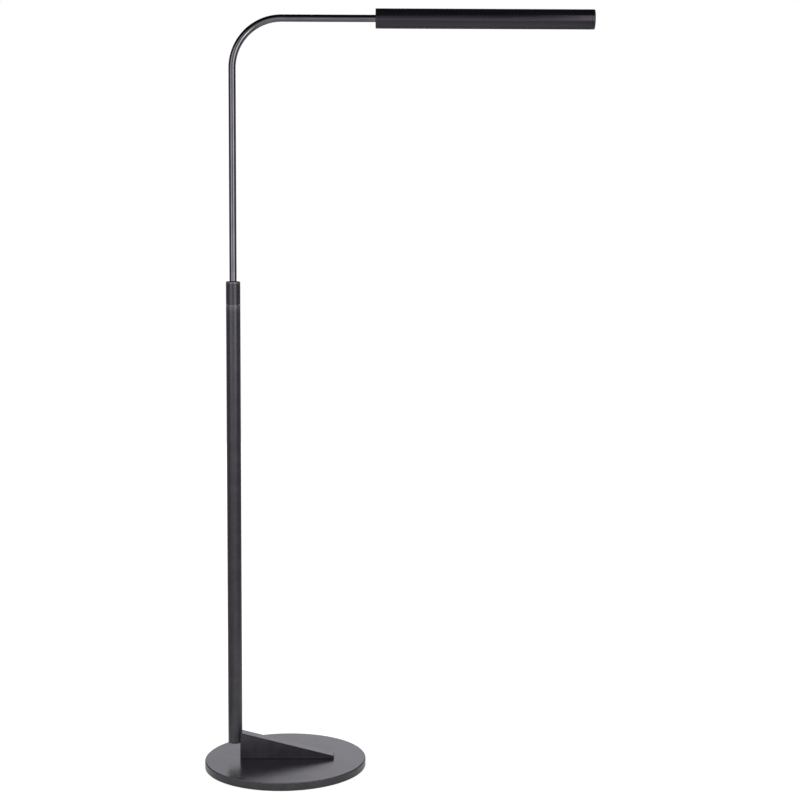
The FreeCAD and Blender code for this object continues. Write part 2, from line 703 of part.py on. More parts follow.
def head_shell():
    """One extruded section: round wall, lens floor, lens rails, carrier ledges and screw ports."""
    outside = rod(HEAD_RADIUS, SHELL_START, SHELL_END)
    bore = rod(SHELL_BORE, SHELL_START, SHELL_END)
    wide = SHELL_BORE
    floor = bar(SHELL_START, SHELL_END, -wide, wide, -wide, LENS_SEAT)
    webs = [floor]
    for side in (-1, 1):
        rail_edge = sorted((side * (SLOT_HALF + FREE_GAP), side * wide))
        ledge_edge = sorted((side * LEDGE_HALF, side * wide))
        webs.append(bar(SHELL_START, SHELL_END, rail_edge[0], rail_edge[1], RAIL_FOOT, RAIL_TOP))
        webs.append(
            bar(SHELL_START, SHELL_END, ledge_edge[0], ledge_edge[1], -LEDGE_THICKNESS, 0)
        )
    hollow = bore
    for web in webs:
        hollow = hollow.cut(web)
    for y, z in port_places():
        hollow = hollow.cut(rod(PORT_RADIUS, SHELL_START, SHELL_END, y, z))
    shell = outside.cut(hollow)
    for y, z in port_places():
        shell = shell.cut(rod(CAP_SCREW_RADIUS + SEAT_GAP, SHELL_START, SHELL_END, y, z))
    slot = bar(SHELL_START, SHELL_END, -SLOT_HALF, SLOT_HALF, -HEAD_RADIUS, LENS_SEAT)
    shell = shell.cut(slot)
    lips = []
    for edge in shell.Edges:
        box = edge.BoundBox
        outer_lip = box.ZMax < ARM_HEIGHT + LENS_SEAT - FREE_GAP
        if outer_lip and box.XLength > HEAD_LENGTH / 2 and abs(abs(box.YMin) - SLOT_HALF) < 1e-3:
            lips.append(edge)
    return shell.makeChamfer(SLOT_LIP_CHAMFER, lips)


def cap_blank(outer_face, inner_face):
    """Disc as wide as the shell, chamfered outside and barely so at the seam."""
    cap = rod(HEAD_RADIUS, min(outer_face, inner_face), max(outer_face, inner_face))
    cap = cap.makeChamfer(CAP_EDGE_CHAMFER, head_circle_edges(cap, HEAD_RADIUS, outer_face))
    return cap.makeChamfer(CAP_SEAM_CHAMFER, head_circle_edges(cap, HEAD_RADIUS, inner_face))


def cap_screw(radius, head_radius, face, inward, y, z, reach):
    """Countersunk screw shape that goes inward (+1 or -1 along X) from the outer face."""
    neck = head_radius - radius
    cone = Part.makeCone(head_radius, radius, neck, point(face, y, ARM_HEIGHT + z), ALONG * inward)
    shank = Part.makeCylinder(
        radius, reach - neck, point(face + inward * neck, y, ARM_HEIGHT + z), ALONG * inward
    )
    return cone.fuse(shank).removeSplitter()


def screw_holes(cap, face, inward):
    """Cut the two countersunk holes of one cap."""
    for y, z in port_places():
        hole = cap_screw(
            CAP_SCREW_RADIUS + SEAT_GAP, CAP_SCREW_HEAD + SEAT_GAP, face, inward, y, z, CAP_THICKNESS
        )
        cap = cap.cut(hole)
    return cap


def inner_end_cap():
    """Cap on the tube's side: bored for tube and bush, with a boss that carries bush and pins."""
    cap = cap_blank(HEAD_START, SHELL_START)
    cap = cap.fuse(rod(BOSS_RADIUS, SHELL_START - FACE_GAP, BOSS_FACE)).removeSplitter()
    cap = cap.cut(rod(TUBE_RADIUS + RUN_GAP, HEAD_START, BUSH_FACE))
    cap = cap.cut(rod(SWIVEL_BUSH_OUTER, BUSH_FACE - FACE_GAP, BOSS_FACE))
    for y, z in swivel_pin_places():
        cap = cap.cut(rod(SWIVEL_PIN_RADIUS + SEAT_GAP, SHELL_START, BOSS_FACE, y, z))
    return screw_holes(cap, HEAD_START, 1)


def outer_end_cap():
    cap = cap_blank(HEAD_END, SHELL_END)
    boss = rod(BOSS_RADIUS, SHELL_END - OUTER_BOSS, SHELL_END + FACE_GAP)
    return screw_holes(cap.fuse(boss).removeSplitter(), HEAD_END, -1)


def end_cap_screws():
    screws = []
    for face, inward in ((HEAD_START, 1), (HEAD_END, -1)):
        for y, z in port_places():
            reach = CAP_THICKNESS + CAP_SCREW_BITE
            screw = cap_screw(CAP_SCREW_RADIUS, CAP_SCREW_HEAD, face, inward, y, z, reach)
            start = point(face, y, ARM_HEIGHT + z)
            socket = hexagon(CAP_SCREW_KEY, start, ALONG * inward * CAP_SCREW_KEY * KEY_DEPTH)
            screws.append(screw.cut(socket))
    return Part.makeCompound(screws)


def swivel_pin_places():
    """Pins either side of the tab, so that it meets one after the turn and a little more."""
    pin_angle = math.degrees(math.asin(SWIVEL_PIN_RADIUS / SWIVEL_PIN_CIRCLE))
    spread = SWIVEL_TURN + SWIVEL_TURN_SPARE + STOP_TAB_ANGLE / 2 + pin_angle
    places = []
    for side in (-1, 1):
        turn = math.radians(side * spread)
        places.append((SWIVEL_PIN_CIRCLE * math.sin(turn), SWIVEL_PIN_CIRCLE * math.cos(turn)))
    return places


def swivel_stop_pins():
    pins = []
    for y, z in swivel_pin_places():
        pins.append(rod(SWIVEL_PIN_RADIUS, SHELL_START, BOSS_FACE + SWIVEL_PIN_REACH, y, z))
    return Part.makeCompound(pins)


# Light engine

def led_carrier():
    """Flat bar on the ledges, with fins above that spread the board's heat."""
    carrier = bar(BOARD_FROM, BOARD_TO, -CARRIER_HALF, CARRIER_HALF, 0, CARRIER_THICKNESS)
    middle = (CARRIER_FINS - 1) / 2
    for number in range(CARRIER_FINS):
        y = (number - middle) * CARRIER_FIN_PITCH
        fin = bar(
            BOARD_FROM, BOARD_TO, y - CARRIER_FIN_WIDTH / 2, y + CARRIER_FIN_WIDTH / 2,
            CARRIER_THICKNESS, CARRIER_THICKNESS + CARRIER_FIN_HEIGHT,
        )
        carrier = carrier.fuse(fin)
    carrier = carrier.removeSplitter()
    for x in board_screw_places():
        hole = board_hole(BOARD_SCREW_RADIUS + SEAT_GAP, 0, CARRIER_THICKNESS, x)
        carrier = carrier.cut(hole)
    return carrier


def board_hole(radius, low, high, x):
    """Upright cylinder in the head, its heights measured from the head's axis."""
    return Part.makeCylinder(radius, high - low, point(x, 0, ARM_HEIGHT + low), UP)


def chip_places():
    """The light-emitting chips' x positions, evenly spaced until the board ends."""
    places = []
    x = HEAD_START + FIRST_CHIP
    while x < BOARD_TO - CHIP_PITCH / 2:
        places.append(x)
        x += CHIP_PITCH
    return places


def board_screw_places():
    """Every few chips, halfway between two of them."""
    places = chip_places()
    return [x + CHIP_PITCH / 2 for x in places[:-1:CHIPS_PER_SCREW]]


def led_board():
    board = bar(BOARD_FROM, BOARD_TO, -BOARD_HALF, BOARD_HALF, -BOARD_THICKNESS, 0)
    for x in board_screw_places():
        board = board.cut(board_hole(BOARD_SCREW_RADIUS + SEAT_GAP, -BOARD_THICKNESS, 0, x))
    return board


def led_chips():
    chips = []
    half = CHIP_SIZE / 2
    for x in chip_places():
        low = -BOARD_THICKNESS - CHIP_HEIGHT
        chips.append(bar(x - half, x + half, -half, half, low, -BOARD_THICKNESS))
    return Part.makeCompound(chips)


def board_screws():
    screws = []
    for x in board_screw_places():
        low = -BOARD_THICKNESS - BOARD_SCREW_HEAD_HEIGHT
        head = board_hole(BOARD_SCREW_HEAD, low, -BOARD_THICKNESS, x)
        shank = board_hole(BOARD_SCREW_RADIUS, low, CARRIER_THICKNESS, x)
        slot = bar(x - BOARD_SCREW_HEAD, x + BOARD_SCREW_HEAD, -0.4, 0.4, low, low + 0.6)
        screws.append(head.fuse(shank).removeSplitter().cut(slot))
    return Part.makeCompound(screws)


def lead_terminal():
    """Two-way terminal at the board's start, its holes towards the spindle."""
    low = -BOARD_THICKNESS - TERMINAL_HEIGHT
    start = BOARD_FROM
    block = bar(start, start + TERMINAL_LENGTH, -TERMINAL_HALF, TERMINAL_HALF, low, -BOARD_THICKNESS)
    for side in (-1, 1):
        hole = rod(
            TERMINAL_HOLE, start, start + TERMINAL_LENGTH * 0.8, side * TERMINAL_HALF / 2,
            (low - BOARD_THICKNESS) / 2,
        )
        block = block.cut(hole)
    return block


def dimmer_switch():
    """Push switch under the board, over the button's stem."""
    foot = -BOARD_THICKNESS - SWITCH_HEIGHT
    body = bar(
        BUTTON_X - SWITCH_HALF, BUTTON_X + SWITCH_HALF, -SWITCH_HALF, SWITCH_HALF,
        foot, -BOARD_THICKNESS,
    )
    plunger = board_hole(SWITCH_PLUNGER, foot - SWITCH_PLUNGER_HEIGHT, foot, BUTTON_X)
    return body.fuse(plunger).removeSplitter()


def diffuser():
    """Opal strip: a flange between floor and rails, and a window that fills the slot."""
    start = SHELL_START + FACE_GAP
    end = SHELL_END - FACE_GAP
    flange = bar(start, end, -LENS_FLANGE_HALF, LENS_FLANGE_HALF, LENS_SEAT, LENS_TOP)
    half = SLOT_HALF - FACE_GAP
    window = bar(start, end, -half, half, LENS_FACE, LENS_SEAT)
    strip = flange.fuse(window).removeSplitter()
    return strip.cut(board_hole(BUTTON_RADIUS + RUN_GAP, LENS_FACE, LENS_TOP, BUTTON_X))


def dimmer_button():
    """Button in the diffuser, with a flange that keeps it in and a stem up to the switch."""
    flange_foot = LENS_TOP + RUN_GAP
    flange_top = flange_foot + BUTTON_FLANGE
    plunger_foot = -BOARD_THICKNESS - SWITCH_HEIGHT - SWITCH_PLUNGER_HEIGHT
    stem_top = plunger_foot - BUTTON_TRAVEL - FACE_GAP
    face = board_hole(BUTTON_RADIUS, BUTTON_FACE, flange_foot, BUTTON_X)
    flange = board_hole(BUTTON_RADIUS + BUTTON_FLANGE_RIM, flange_foot, flange_top, BUTTON_X)
    stem = board_hole(BUTTON_STEM, flange_top, stem_top, BUTTON_X)
    return face.fuse([flange, stem]).removeSplitter()


NODES = (
    base_plate,
    base_pad,
    base_screws,
    wedge_bracket,
    wedge_stud,
    lower_pole,
    pole_foot_plug,
    stud_set_screw,
    cord_bushing,
    pole_nipple,
    clamp_collet,
    lock_collar,
    wiper_ring,
    guide_bush,
    stop_collar,
    stop_collar_pin,
    retaining_ring,
    upper_tube,
    swivel_spindle,
    friction_washer,
    swivel_bush,
    stop_washer,
    disc_spring,
    spindle_nut,
    head_shell,
    inner_end_cap,
    outer_end_cap,
    end_cap_screws,
    swivel_stop_pins,
    led_carrier,
    led_board,
    led_chips,
    board_screws,
    lead_terminal,
    dimmer_switch,
    diffuser,
    dimmer_button,
)

os.makedirs("parts", exist_ok=True)
for node in NODES:
    save(node.__name__, node())
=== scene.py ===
"""Looks of an adjustable floor lamp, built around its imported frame.

A round steel plate carries a wedge, and the wedge holds a tubular pole clear of the plate. A thin bent tube
slides and turns in the pole's locking collar, and a slim round head with an opal strip turns on its end.

Sizes here are millimetres unless a name says otherwise, and meshes are metres. +Z is up, the head points
to +X and the camera stands on the -Y side.
"""

import logging
import math
from collections.abc import Callable, Sequence
from dataclasses import dataclass, replace
from enum import Enum
from functools import cache

import bmesh
import bpy
import numpy as np
from mathutils import Matrix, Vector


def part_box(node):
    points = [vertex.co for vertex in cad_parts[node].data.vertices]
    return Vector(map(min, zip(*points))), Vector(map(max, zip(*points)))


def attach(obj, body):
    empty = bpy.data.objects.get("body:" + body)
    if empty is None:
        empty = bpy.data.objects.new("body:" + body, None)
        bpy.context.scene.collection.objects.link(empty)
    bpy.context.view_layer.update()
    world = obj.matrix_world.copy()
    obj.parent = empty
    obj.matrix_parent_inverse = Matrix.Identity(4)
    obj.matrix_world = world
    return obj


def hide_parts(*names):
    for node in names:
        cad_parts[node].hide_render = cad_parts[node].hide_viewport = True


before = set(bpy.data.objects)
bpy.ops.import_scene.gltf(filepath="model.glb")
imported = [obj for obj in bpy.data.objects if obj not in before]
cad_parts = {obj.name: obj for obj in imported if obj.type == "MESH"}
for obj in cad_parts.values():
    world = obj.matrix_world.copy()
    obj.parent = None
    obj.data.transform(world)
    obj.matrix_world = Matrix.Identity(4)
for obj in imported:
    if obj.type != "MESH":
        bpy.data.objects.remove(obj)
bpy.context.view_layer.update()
LOG = logging.getLogger("floor_lamp")

MM = 0.001
TAU = 2 * math.pi
WELD = 1e-7
IMAGE_SIZE = 800
WHITE = (1.0, 1.0, 1.0, 1.0)

Pair = tuple[float, float]
Triple = tuple[float, float, float]
Colour = tuple[float, float, float, float]
Relief = Callable[[np.ndarray, np.ndarray, np.ndarray], np.ndarray]
Outputs = bpy.types.bpy_prop_collection
Socket = bpy.types.NodeSocket


def linear(code: str) -> Colour:
    """Turn an sRGB hex colour into the linear one that shaders take, by the curve of the sRGB standard.

    Args:
        code: The colour, such as "#1b1a1c".

    Returns:
        Red, green, blue and an alpha of 1.
    """
    parts = [int(code[place:place + 2], 16) / 255 for place in (1, 3, 5)]
    curve = [part / 12.92 if part <= 0.04045 else ((part + 0.055) / 1.055) ** 2.4 for part in parts]
    return (curve[0], curve[1], curve[2], 1.0)


def add(tree: bpy.types.NodeTree, kind: str, settings: dict, inputs: dict) -> Outputs:
    """Add one shader node with its settings, values and links.

    Args:
        tree: The tree that gets the node.
        kind: The node's class without its "ShaderNode".
        settings: Values of the node's own properties.
        inputs: A value or an output socket for each input, by name or place.

    Returns:
        The node's outputs.
    """
    node = tree.nodes.new("ShaderNode" + kind)
    for name, value in settings.items():
        setattr(node, name, value)
    for key, value in inputs.items():
        if isinstance(value, Socket):
            tree.links.new(value, node.inputs[key])
        else:
            node.inputs[key].default_value = value
    return node.outputs


# Surfaces

@dataclass
class Sheet:
    """A gridded surface: points in metres, the quads between them and a flat map in metres."""

    points: np.ndarray
    quads: np.ndarray
    flat: np.ndarray

    @classmethod
    def from_grid(cls, points: np.ndarray, flat: np.ndarray) -> "Sheet":
        """Join the neighbours of a grid by quads.

        Args:
            points: Rows by columns by 3.
            flat: Rows by columns by 2.

        Returns:
            The sheet, whose wrapped edges still lie double and are welded with the mesh.
        """
        rows, columns = points.shape[:2]
        index = np.arange(rows * columns).reshape(rows, columns)
        corners = (index[:-1, :-1], index[:-1, 1:], index[1:, 1:], index[1:, :-1])
        return cls(points.reshape(-1, 3), np.stack(corners, axis=-1).reshape(-1, 4), flat.reshape(-1, 2))

    @classmethod
    def together(cls, sheets: Sequence["Sheet"]) -> "Sheet":
        """Put several sheets into one, as separate shells.

        Args:
            sheets: The shells.

        Returns:
            One sheet that holds them all.
        """
        starts = np.cumsum([0] + [len(sheet.points) for sheet in sheets[:-1]])
        quads = [sheet.quads + start for sheet, start in zip(sheets, starts)]
        points = [sheet.points for sheet in sheets]
        flat = [sheet.flat for sheet in sheets]
        return cls(np.concatenate(points), np.concatenate(quads), np.concatenate(flat))

    def mesh(self, name: str, crease: float) -> bpy.types.Mesh:
        """Write the sheet into a mesh, weld its seams and poles and turn its faces outwards.

        Args:
            name: The mesh's name.
            crease: Degrees between two faces past which their edge stays sharp.

        Returns:
            The mesh, smooth between its sharp edges.
        """
        mesh = bpy.data.meshes.new(name)
        mesh.vertices.add(len(self.points))
        mesh.vertices.foreach_set("co", self.points.ravel())
        mesh.loops.add(self.quads.size)
        mesh.loops.foreach_set("vertex_index", self.quads.ravel())
        mesh.polygons.add(len(self.quads))
        mesh.polygons.foreach_set("loop_start", np.arange(0, self.quads.size, 4))
        mesh.update(calc_edges=True)
        layer = mesh.uv_layers.new(name="flat")
        layer.uv.foreach_set("vector", self.flat[self.quads.ravel()].ravel())
        work = bmesh.new()
        work.from_mesh(mesh)
        bmesh.ops.remove_doubles(work, verts=work.verts, dist=WELD)
        bmesh.ops.recalc_face_normals(work, faces=work.faces)
        work.to_mesh(mesh)
        work.free()
        mesh.shade_smooth()
        mesh.set_sharp_from_angle(angle=math.radians(crease))
        return mesh


@dataclass(frozen=True)
class StraightLine:
    """Centre line of a turned piece.

    A point at radius r, distance h and angle a lies at
    start + h * along + r * (cos a * zero + sin a * third), where third is square to along and zero.
    """

    start: Triple
    along: Triple = (0.0, 0.0, 1.0)
    zero: Triple = (1.0, 0.0, 0.0)

    def place(self, radius: np.ndarray, distance: np.ndarray, angle: np.ndarray) -> np.ndarray:
        """Find the points at a radius, a distance along the line and an angle about it.

        Args:
            radius: Distance from the line.
            distance: Distance along the line.
            angle: Radians from the zero direction.

        Returns:
            The points, one more dimension than the arguments.
        """
        third = np.cross(self.along, self.zero)
        outward = np.cos(angle)[..., None] * np.array(self.zero) + np.sin(angle)[..., None] * third
        centre = np.array(self.start) + distance[..., None] * np.array(self.along)
        return centre + radius[..., None] * outward


@dataclass(frozen=True)
class BentLine:
    """Centre line that rises, turns a quarter circle towards +X and runs on level.

    The turn at a distance is (distance - rise) / bend, held between 0 and a quarter turn. The centre is
    then foot + (bend * (1 - cos turn) + level run, 0, upright run + bend * sin turn), and the ring about it
    lies in the inward direction (cos turn, 0, -sin turn) and +Y.
    """

    foot: Triple
    rise: float
    bend: float

    def place(self, radius: np.ndarray, distance: np.ndarray, angle: np.ndarray) -> np.ndarray:
        """Find the points of a ring about the line.

        Args:
            radius: Distance from the line.
            distance: Distance along the line.
            angle: Radians from the bend's inner side.

        Returns:
            The points, one more dimension than the arguments.
        """
        quarter = math.pi / 2
        turn = np.clip((distance - self.rise) / self.bend, 0.0, quarter)
        level = np.maximum(distance - self.rise - self.bend * quarter, 0.0)
        inward = radius * np.cos(angle)
        x = self.bend * (1 - np.cos(turn)) + level + inward * np.cos(turn)
        z = np.minimum(distance, self.rise) + self.bend * np.sin(turn) - inward * np.sin(turn)
        return np.array(self.foot) + np.stack([x, radius * np.sin(angle), z], axis=-1)


@dataclass(frozen=True)
class Thread:
    """Screw thread: a triangle wave that climbs a pitch a turn and fades out over a pitch at both ends."""

    pitch: float
    depth: float
    start: float
    end: float
    crest: float
    inside: bool = False

    def __call__(self, radius: np.ndarray, distance: np.ndarray, angle: np.ndarray) -> np.ndarray:
        """Cut the thread into the rows that lie at the crest's radius.

        Args:
            radius: Radii before the cut.
            distance: Distances along the centre line.
            angle: Radians about it.

        Returns:
            Radii after the cut.
        """
        turns = distance / self.pitch - angle / TAU
        groove = 1 - np.abs(2 * (turns - np.floor(turns)) - 1)
        lead_in = np.clip((distance - self.start) / self.pitch, 0.0, 1.0)
        run_out = np.clip((self.end - distance) / self.pitch, 0.0, 1.0)
        on_crest = np.abs(radius - self.crest) < WELD / MM
        outwards = 1 if self.inside else -1
        return radius + outwards * self.depth * groove * lead_in * run_out * on_crest


@dataclass(frozen=True)
class HexSocket:
    """Key socket: rows up to the corner radius take the shape of a hexagon.

    A hexagon's edge lies at corner radius * cos 30 / cos(angle within its sixth - 30 degrees).
    """

    across_flats: float

    @property
    def corner(self) -> float:
        """Distance from the centre to a corner."""
        return self.across_flats / math.sqrt(3)

    def __call__(self, radius: np.ndarray, distance: np.ndarray, angle: np.ndarray) -> np.ndarray:
        """Draw the socket's rows in to its flats.

        Args:
            radius: Radii before the change.
            distance: Distances along the centre line, which don't matter here.
            angle: Radians about it.

        Returns:
            Radii after the change.
        """
        sixth = math.pi / 3
        share = math.cos(sixth / 2) / np.cos(angle % sixth - sixth / 2)
        return np.where(radius <= self.corner + WELD / MM, radius * share, radius)


def rounded(corners: Sequence[Triple], closed: bool = False) -> np.ndarray:
    """Draw an outline through corners, each rounded off by an arc of its own radius.

    With unit vectors from the corner to both neighbours and half the angle between them, the arc touches
    the sides radius / tan(half) away, and its centre lies radius / sin(half) away on their bisector.

    Args:
        corners: Radius, distance and arc radius of each corner. An arc of 0 leaves it sharp.
        closed: Whether the outline returns to its first point.

    Returns:
        Rows of radius and distance.
    """
    arc_steps = 5
    spots = np.array([corner[:2] for corner in corners])
    rows = []
    for number, (_, _, radius) in enumerate(corners):
        spot = spots[number]
        if radius == 0:
            rows.append(spot[None, :])
            continue
        before = spots[number - 1] - spot
        after = spots[(number + 1) % len(corners)] - spot
        before /= np.linalg.norm(before)
        after /= np.linalg.norm(after)
        half = math.acos(float(before @ after)) / 2
        sweep = math.pi - 2 * half
        reach = radius / math.tan(half)
        centre = spot + (before + after) / np.linalg.norm(before + after) * radius / math.sin(half)
        first = spot + before * reach - centre
        last = spot + after * reach - centre
        share = np.linspace(0.0, 1.0, arc_steps + 1)[:, None]
        blend = np.sin((1 - share) * sweep) * first + np.sin(share * sweep) * last
        rows.append(centre + blend / math.sin(sweep))
    if closed:
        rows.append(rows[0][:1])
    return np.concatenate(rows)


def finer(outline: np.ndarray, start: float, end: float, step: float) -> np.ndarray:
    """Add rows to an outline between two distances, for a thread to be cut in them.

    Args:
        outline: Rows of radius and distance.
        start: Distance where the fine rows start.
        end: Distance where they end.
        step: Most that two fine rows lie apart.

    Returns:
        The outline with the added rows.
    """
    rows = [outline[:1]]
    for before, after in zip(outline[:-1], outline[1:]):
        near = max(before[1], after[1]) > start and min(before[1], after[1]) < end
        count = math.ceil(np.linalg.norm(after - before) / step) if near else 1
        share = np.linspace(0.0, 1.0, max(count, 1) + 1)[1:, None]
        rows.append(before + share * (after - before))
    return np.concatenate(rows)


def turned(
    line: StraightLine | BentLine, outline: np.ndarray, columns: int, reliefs: Sequence[Relief] = (),
) -> Sheet:
    """Carry an outline of radius and distance round a centre line.

    Args:
        line: The centre line.
        outline: Rows of radius and distance, closed on itself or with both ends on the line.
        columns: Steps round the line.
        reliefs: Changes of the radius, such as a thread, in the order they are cut.

    Returns:
        The surface, its flat map round the line and along the outline.
    """
    angle = np.linspace(0.0, TAU, columns + 1)[None, :] + np.zeros((len(outline), 1))
    radius = outline[:, :1] + np.zeros_like(angle)
    distance = outline[:, 1:] + np.zeros_like(angle)
    for relief in reliefs:
        radius = relief(radius, distance, angle)
    steps = np.linalg.norm(np.diff(outline, axis=0), axis=1)
    run = np.concatenate([[0.0], np.cumsum(steps)])[:, None] + np.zeros_like(angle)
    around = angle * outline[:, 0].max()
    return Sheet.from_grid(line.place(radius, distance, angle) * MM, np.stack([around, run], axis=-1) * MM)


# Finishes

@dataclass(frozen=True)
class Step:
    """Smooth step of a value: it is start up to low, and end from high on."""

    value: Socket
    low: float
    high: float
    start: float = 0.0
    end: float = 1.0


class Recipe:
    """Node tree of one finish, or of the room, while it is put together."""

    noise_low: float = 0.3
    noise_high: float = 0.7

    def __init__(self, tree: bpy.types.NodeTree) -> None:
        """Start from an empty tree.

        Args:
            tree: The tree of a material or world.
        """
        self.tree = tree
        self.tree.nodes.clear()
        coordinates = self.add("TexCoord", {}, {})
        self.place = coordinates["Object"]
        self.flat = coordinates["UV"]
        self.direction = coordinates["Generated"]

    def add(self, kind: str, settings: dict, inputs: dict) -> Outputs:
        """Add one node to this tree, as add() does."""
        return add(self.tree, kind, settings, inputs)

    def grain(self, cell: float | Triple, detail: float = 2.0, on: Socket | None = None) -> Socket:
        """Draw blotches, or streaks where the cell is long in one direction.

        Args:
            cell: Size of a blotch in millimetres, one for all or along X, Y and Z.
            detail: How many finer layers lie over it.
            on: The coordinates, the object's own unless given.

        Returns:
            A value around one half.
        """
        scale = (1 / (np.broadcast_to(cell, 3) * MM)).tolist()
        stretched = self.add("Mapping", {}, {"Vector": on or self.place, "Scale": scale})["Vector"]
        return self.add("TexNoise", {}, {"Vector": stretched, "Scale": 1.0, "Detail": detail})[0]

    def share(self, *factors: Step | Socket | float) -> Socket:
        """Multiply smooth steps and plain values, so that a mark shows only where all of them let it.

        Args:
            factors: The steps and values.

        Returns:
            Their product.
        """
        result = None
        for factor in factors:
            if isinstance(factor, Step):
                inputs = {0: factor.value, 1: factor.low, 2: factor.high, 3: factor.start, 4: factor.end}
                factor = self.add("MapRange", {"interpolation_type": "SMOOTHSTEP"}, inputs)[0]
            if result is not None:
                factor = self.add("Math", {"operation": "MULTIPLY"}, {0: result, 1: factor})[0]
            result = factor
        return result

    def vary(self, pattern: Socket, middle: float, swing: Pair) -> Socket:
        """Let a value follow a pattern, over the range that holds most of a noise.

        Args:
            pattern: The pattern, around one half.
            middle: The value.
            swing: How far the pattern takes it down and up.

        Returns:
            The varied value.
        """
        down, up = swing
        return self.share(Step(pattern, self.noise_low, self.noise_high, middle - down, middle + up))

    def coats(self, first: str, *coats: tuple[Step | Socket, str]) -> Socket:
        """Lay colours over a first one.

        Args:
            first: An sRGB hex colour.
            coats: How much of each further colour shows, and its hex code.

        Returns:
            The blended colour.
        """
        colour = linear(first)
        for amount, code in coats:
            inputs = {0: self.share(amount), 6: colour, 7: linear(code)}
            colour = self.add("Mix", {"data_type": "RGBA"}, inputs)[2]
        return colour

    def from_axis(self, centre: Triple, axis: Triple) -> tuple[Socket, Socket]:
        """Measure from an axis along X or Z: the length of the offset without its part along the axis.

        Args:
            centre: A point of the axis, in millimetres.
            axis: The axis's direction.

        Returns:
            The offset from the centre, and the distance from the axis.
        """
        origin = [value * MM for value in centre]
        across = [1.0 - abs(value) for value in axis]
        offset = self.add("VectorMath", {"operation": "SUBTRACT"}, {0: self.place, 1: origin})[0]
        flattened = self.add("VectorMath", {"operation": "MULTIPLY"}, {0: offset, 1: across})[0]
        return offset, self.add("VectorMath", {"operation": "LENGTH"}, {0: flattened})["Value"]

    def lathe_lines(self, centre: Triple, axis: Triple, pitch: float) -> Socket:
        """Draw the fine rings that a turning tool leaves round an axis.

        The pattern reads the distance from the axis and the height along it, so that it runs round both a
        cylinder and its faces.

        Args:
            centre: A point of the axis, in millimetres.
            axis: The axis's direction, along X or Z.
            pitch: Millimetres between rings.

        Returns:
            A value around one half.
        """
        offset, radius = self.from_axis(centre, axis)
        height = self.add("VectorMath", {"operation": "DOT_PRODUCT"}, {0: offset, 1: axis})["Value"]
        rings = self.add("CombineXYZ", {}, {0: radius, 1: height})[0]
        return self.grain(pitch, detail=1.0, on=rings)

    def close(self, inputs: dict, *reliefs: tuple[Socket, float]) -> None:
        """End a material's recipe in one surface shader.

        Args:
            inputs: The shader's values and links.
            reliefs: Patterns that raise the surface, lowest first, each with its depth in millimetres.
        """
        shape = {}
        for pattern, depth in reliefs:
            bump = {"Height": pattern, "Distance": depth * MM, "Strength": 1.0}
            shape = {"Normal": self.add("Bump", {}, bump | shape)["Normal"]}
        shader = self.add("BsdfPrincipled", {}, inputs | shape)[0]
        self.add("OutputMaterial", {}, {"Surface": shader})


class Finish:
    """A real material with the way its surface was made."""

    def mix(self, recipe: Recipe) -> None:
        """Put the finish's nodes together in an empty recipe."""
        raise NotImplementedError


@cache
def material(finish: Finish) -> bpy.types.Material:
    """Make a finish's material once, however many pieces wear it.

    Args:
        finish: The finish.

    Returns:
        Its material.
    """
    made = bpy.data.materials.new(type(finish).__name__)
    made.use_nodes = True
    finish.mix(Recipe(made.node_tree))
    return made


class Working(Enum):
    """How the metal under a finish was worked, as the size of its marks along X, Y and Z."""

    ROLLED = (2.6, 2.6, 2.6)
    DRAWN_UP = (0.9, 0.9, 90.0)
    EXTRUDED_ALONG = (120.0, 0.7, 0.7)


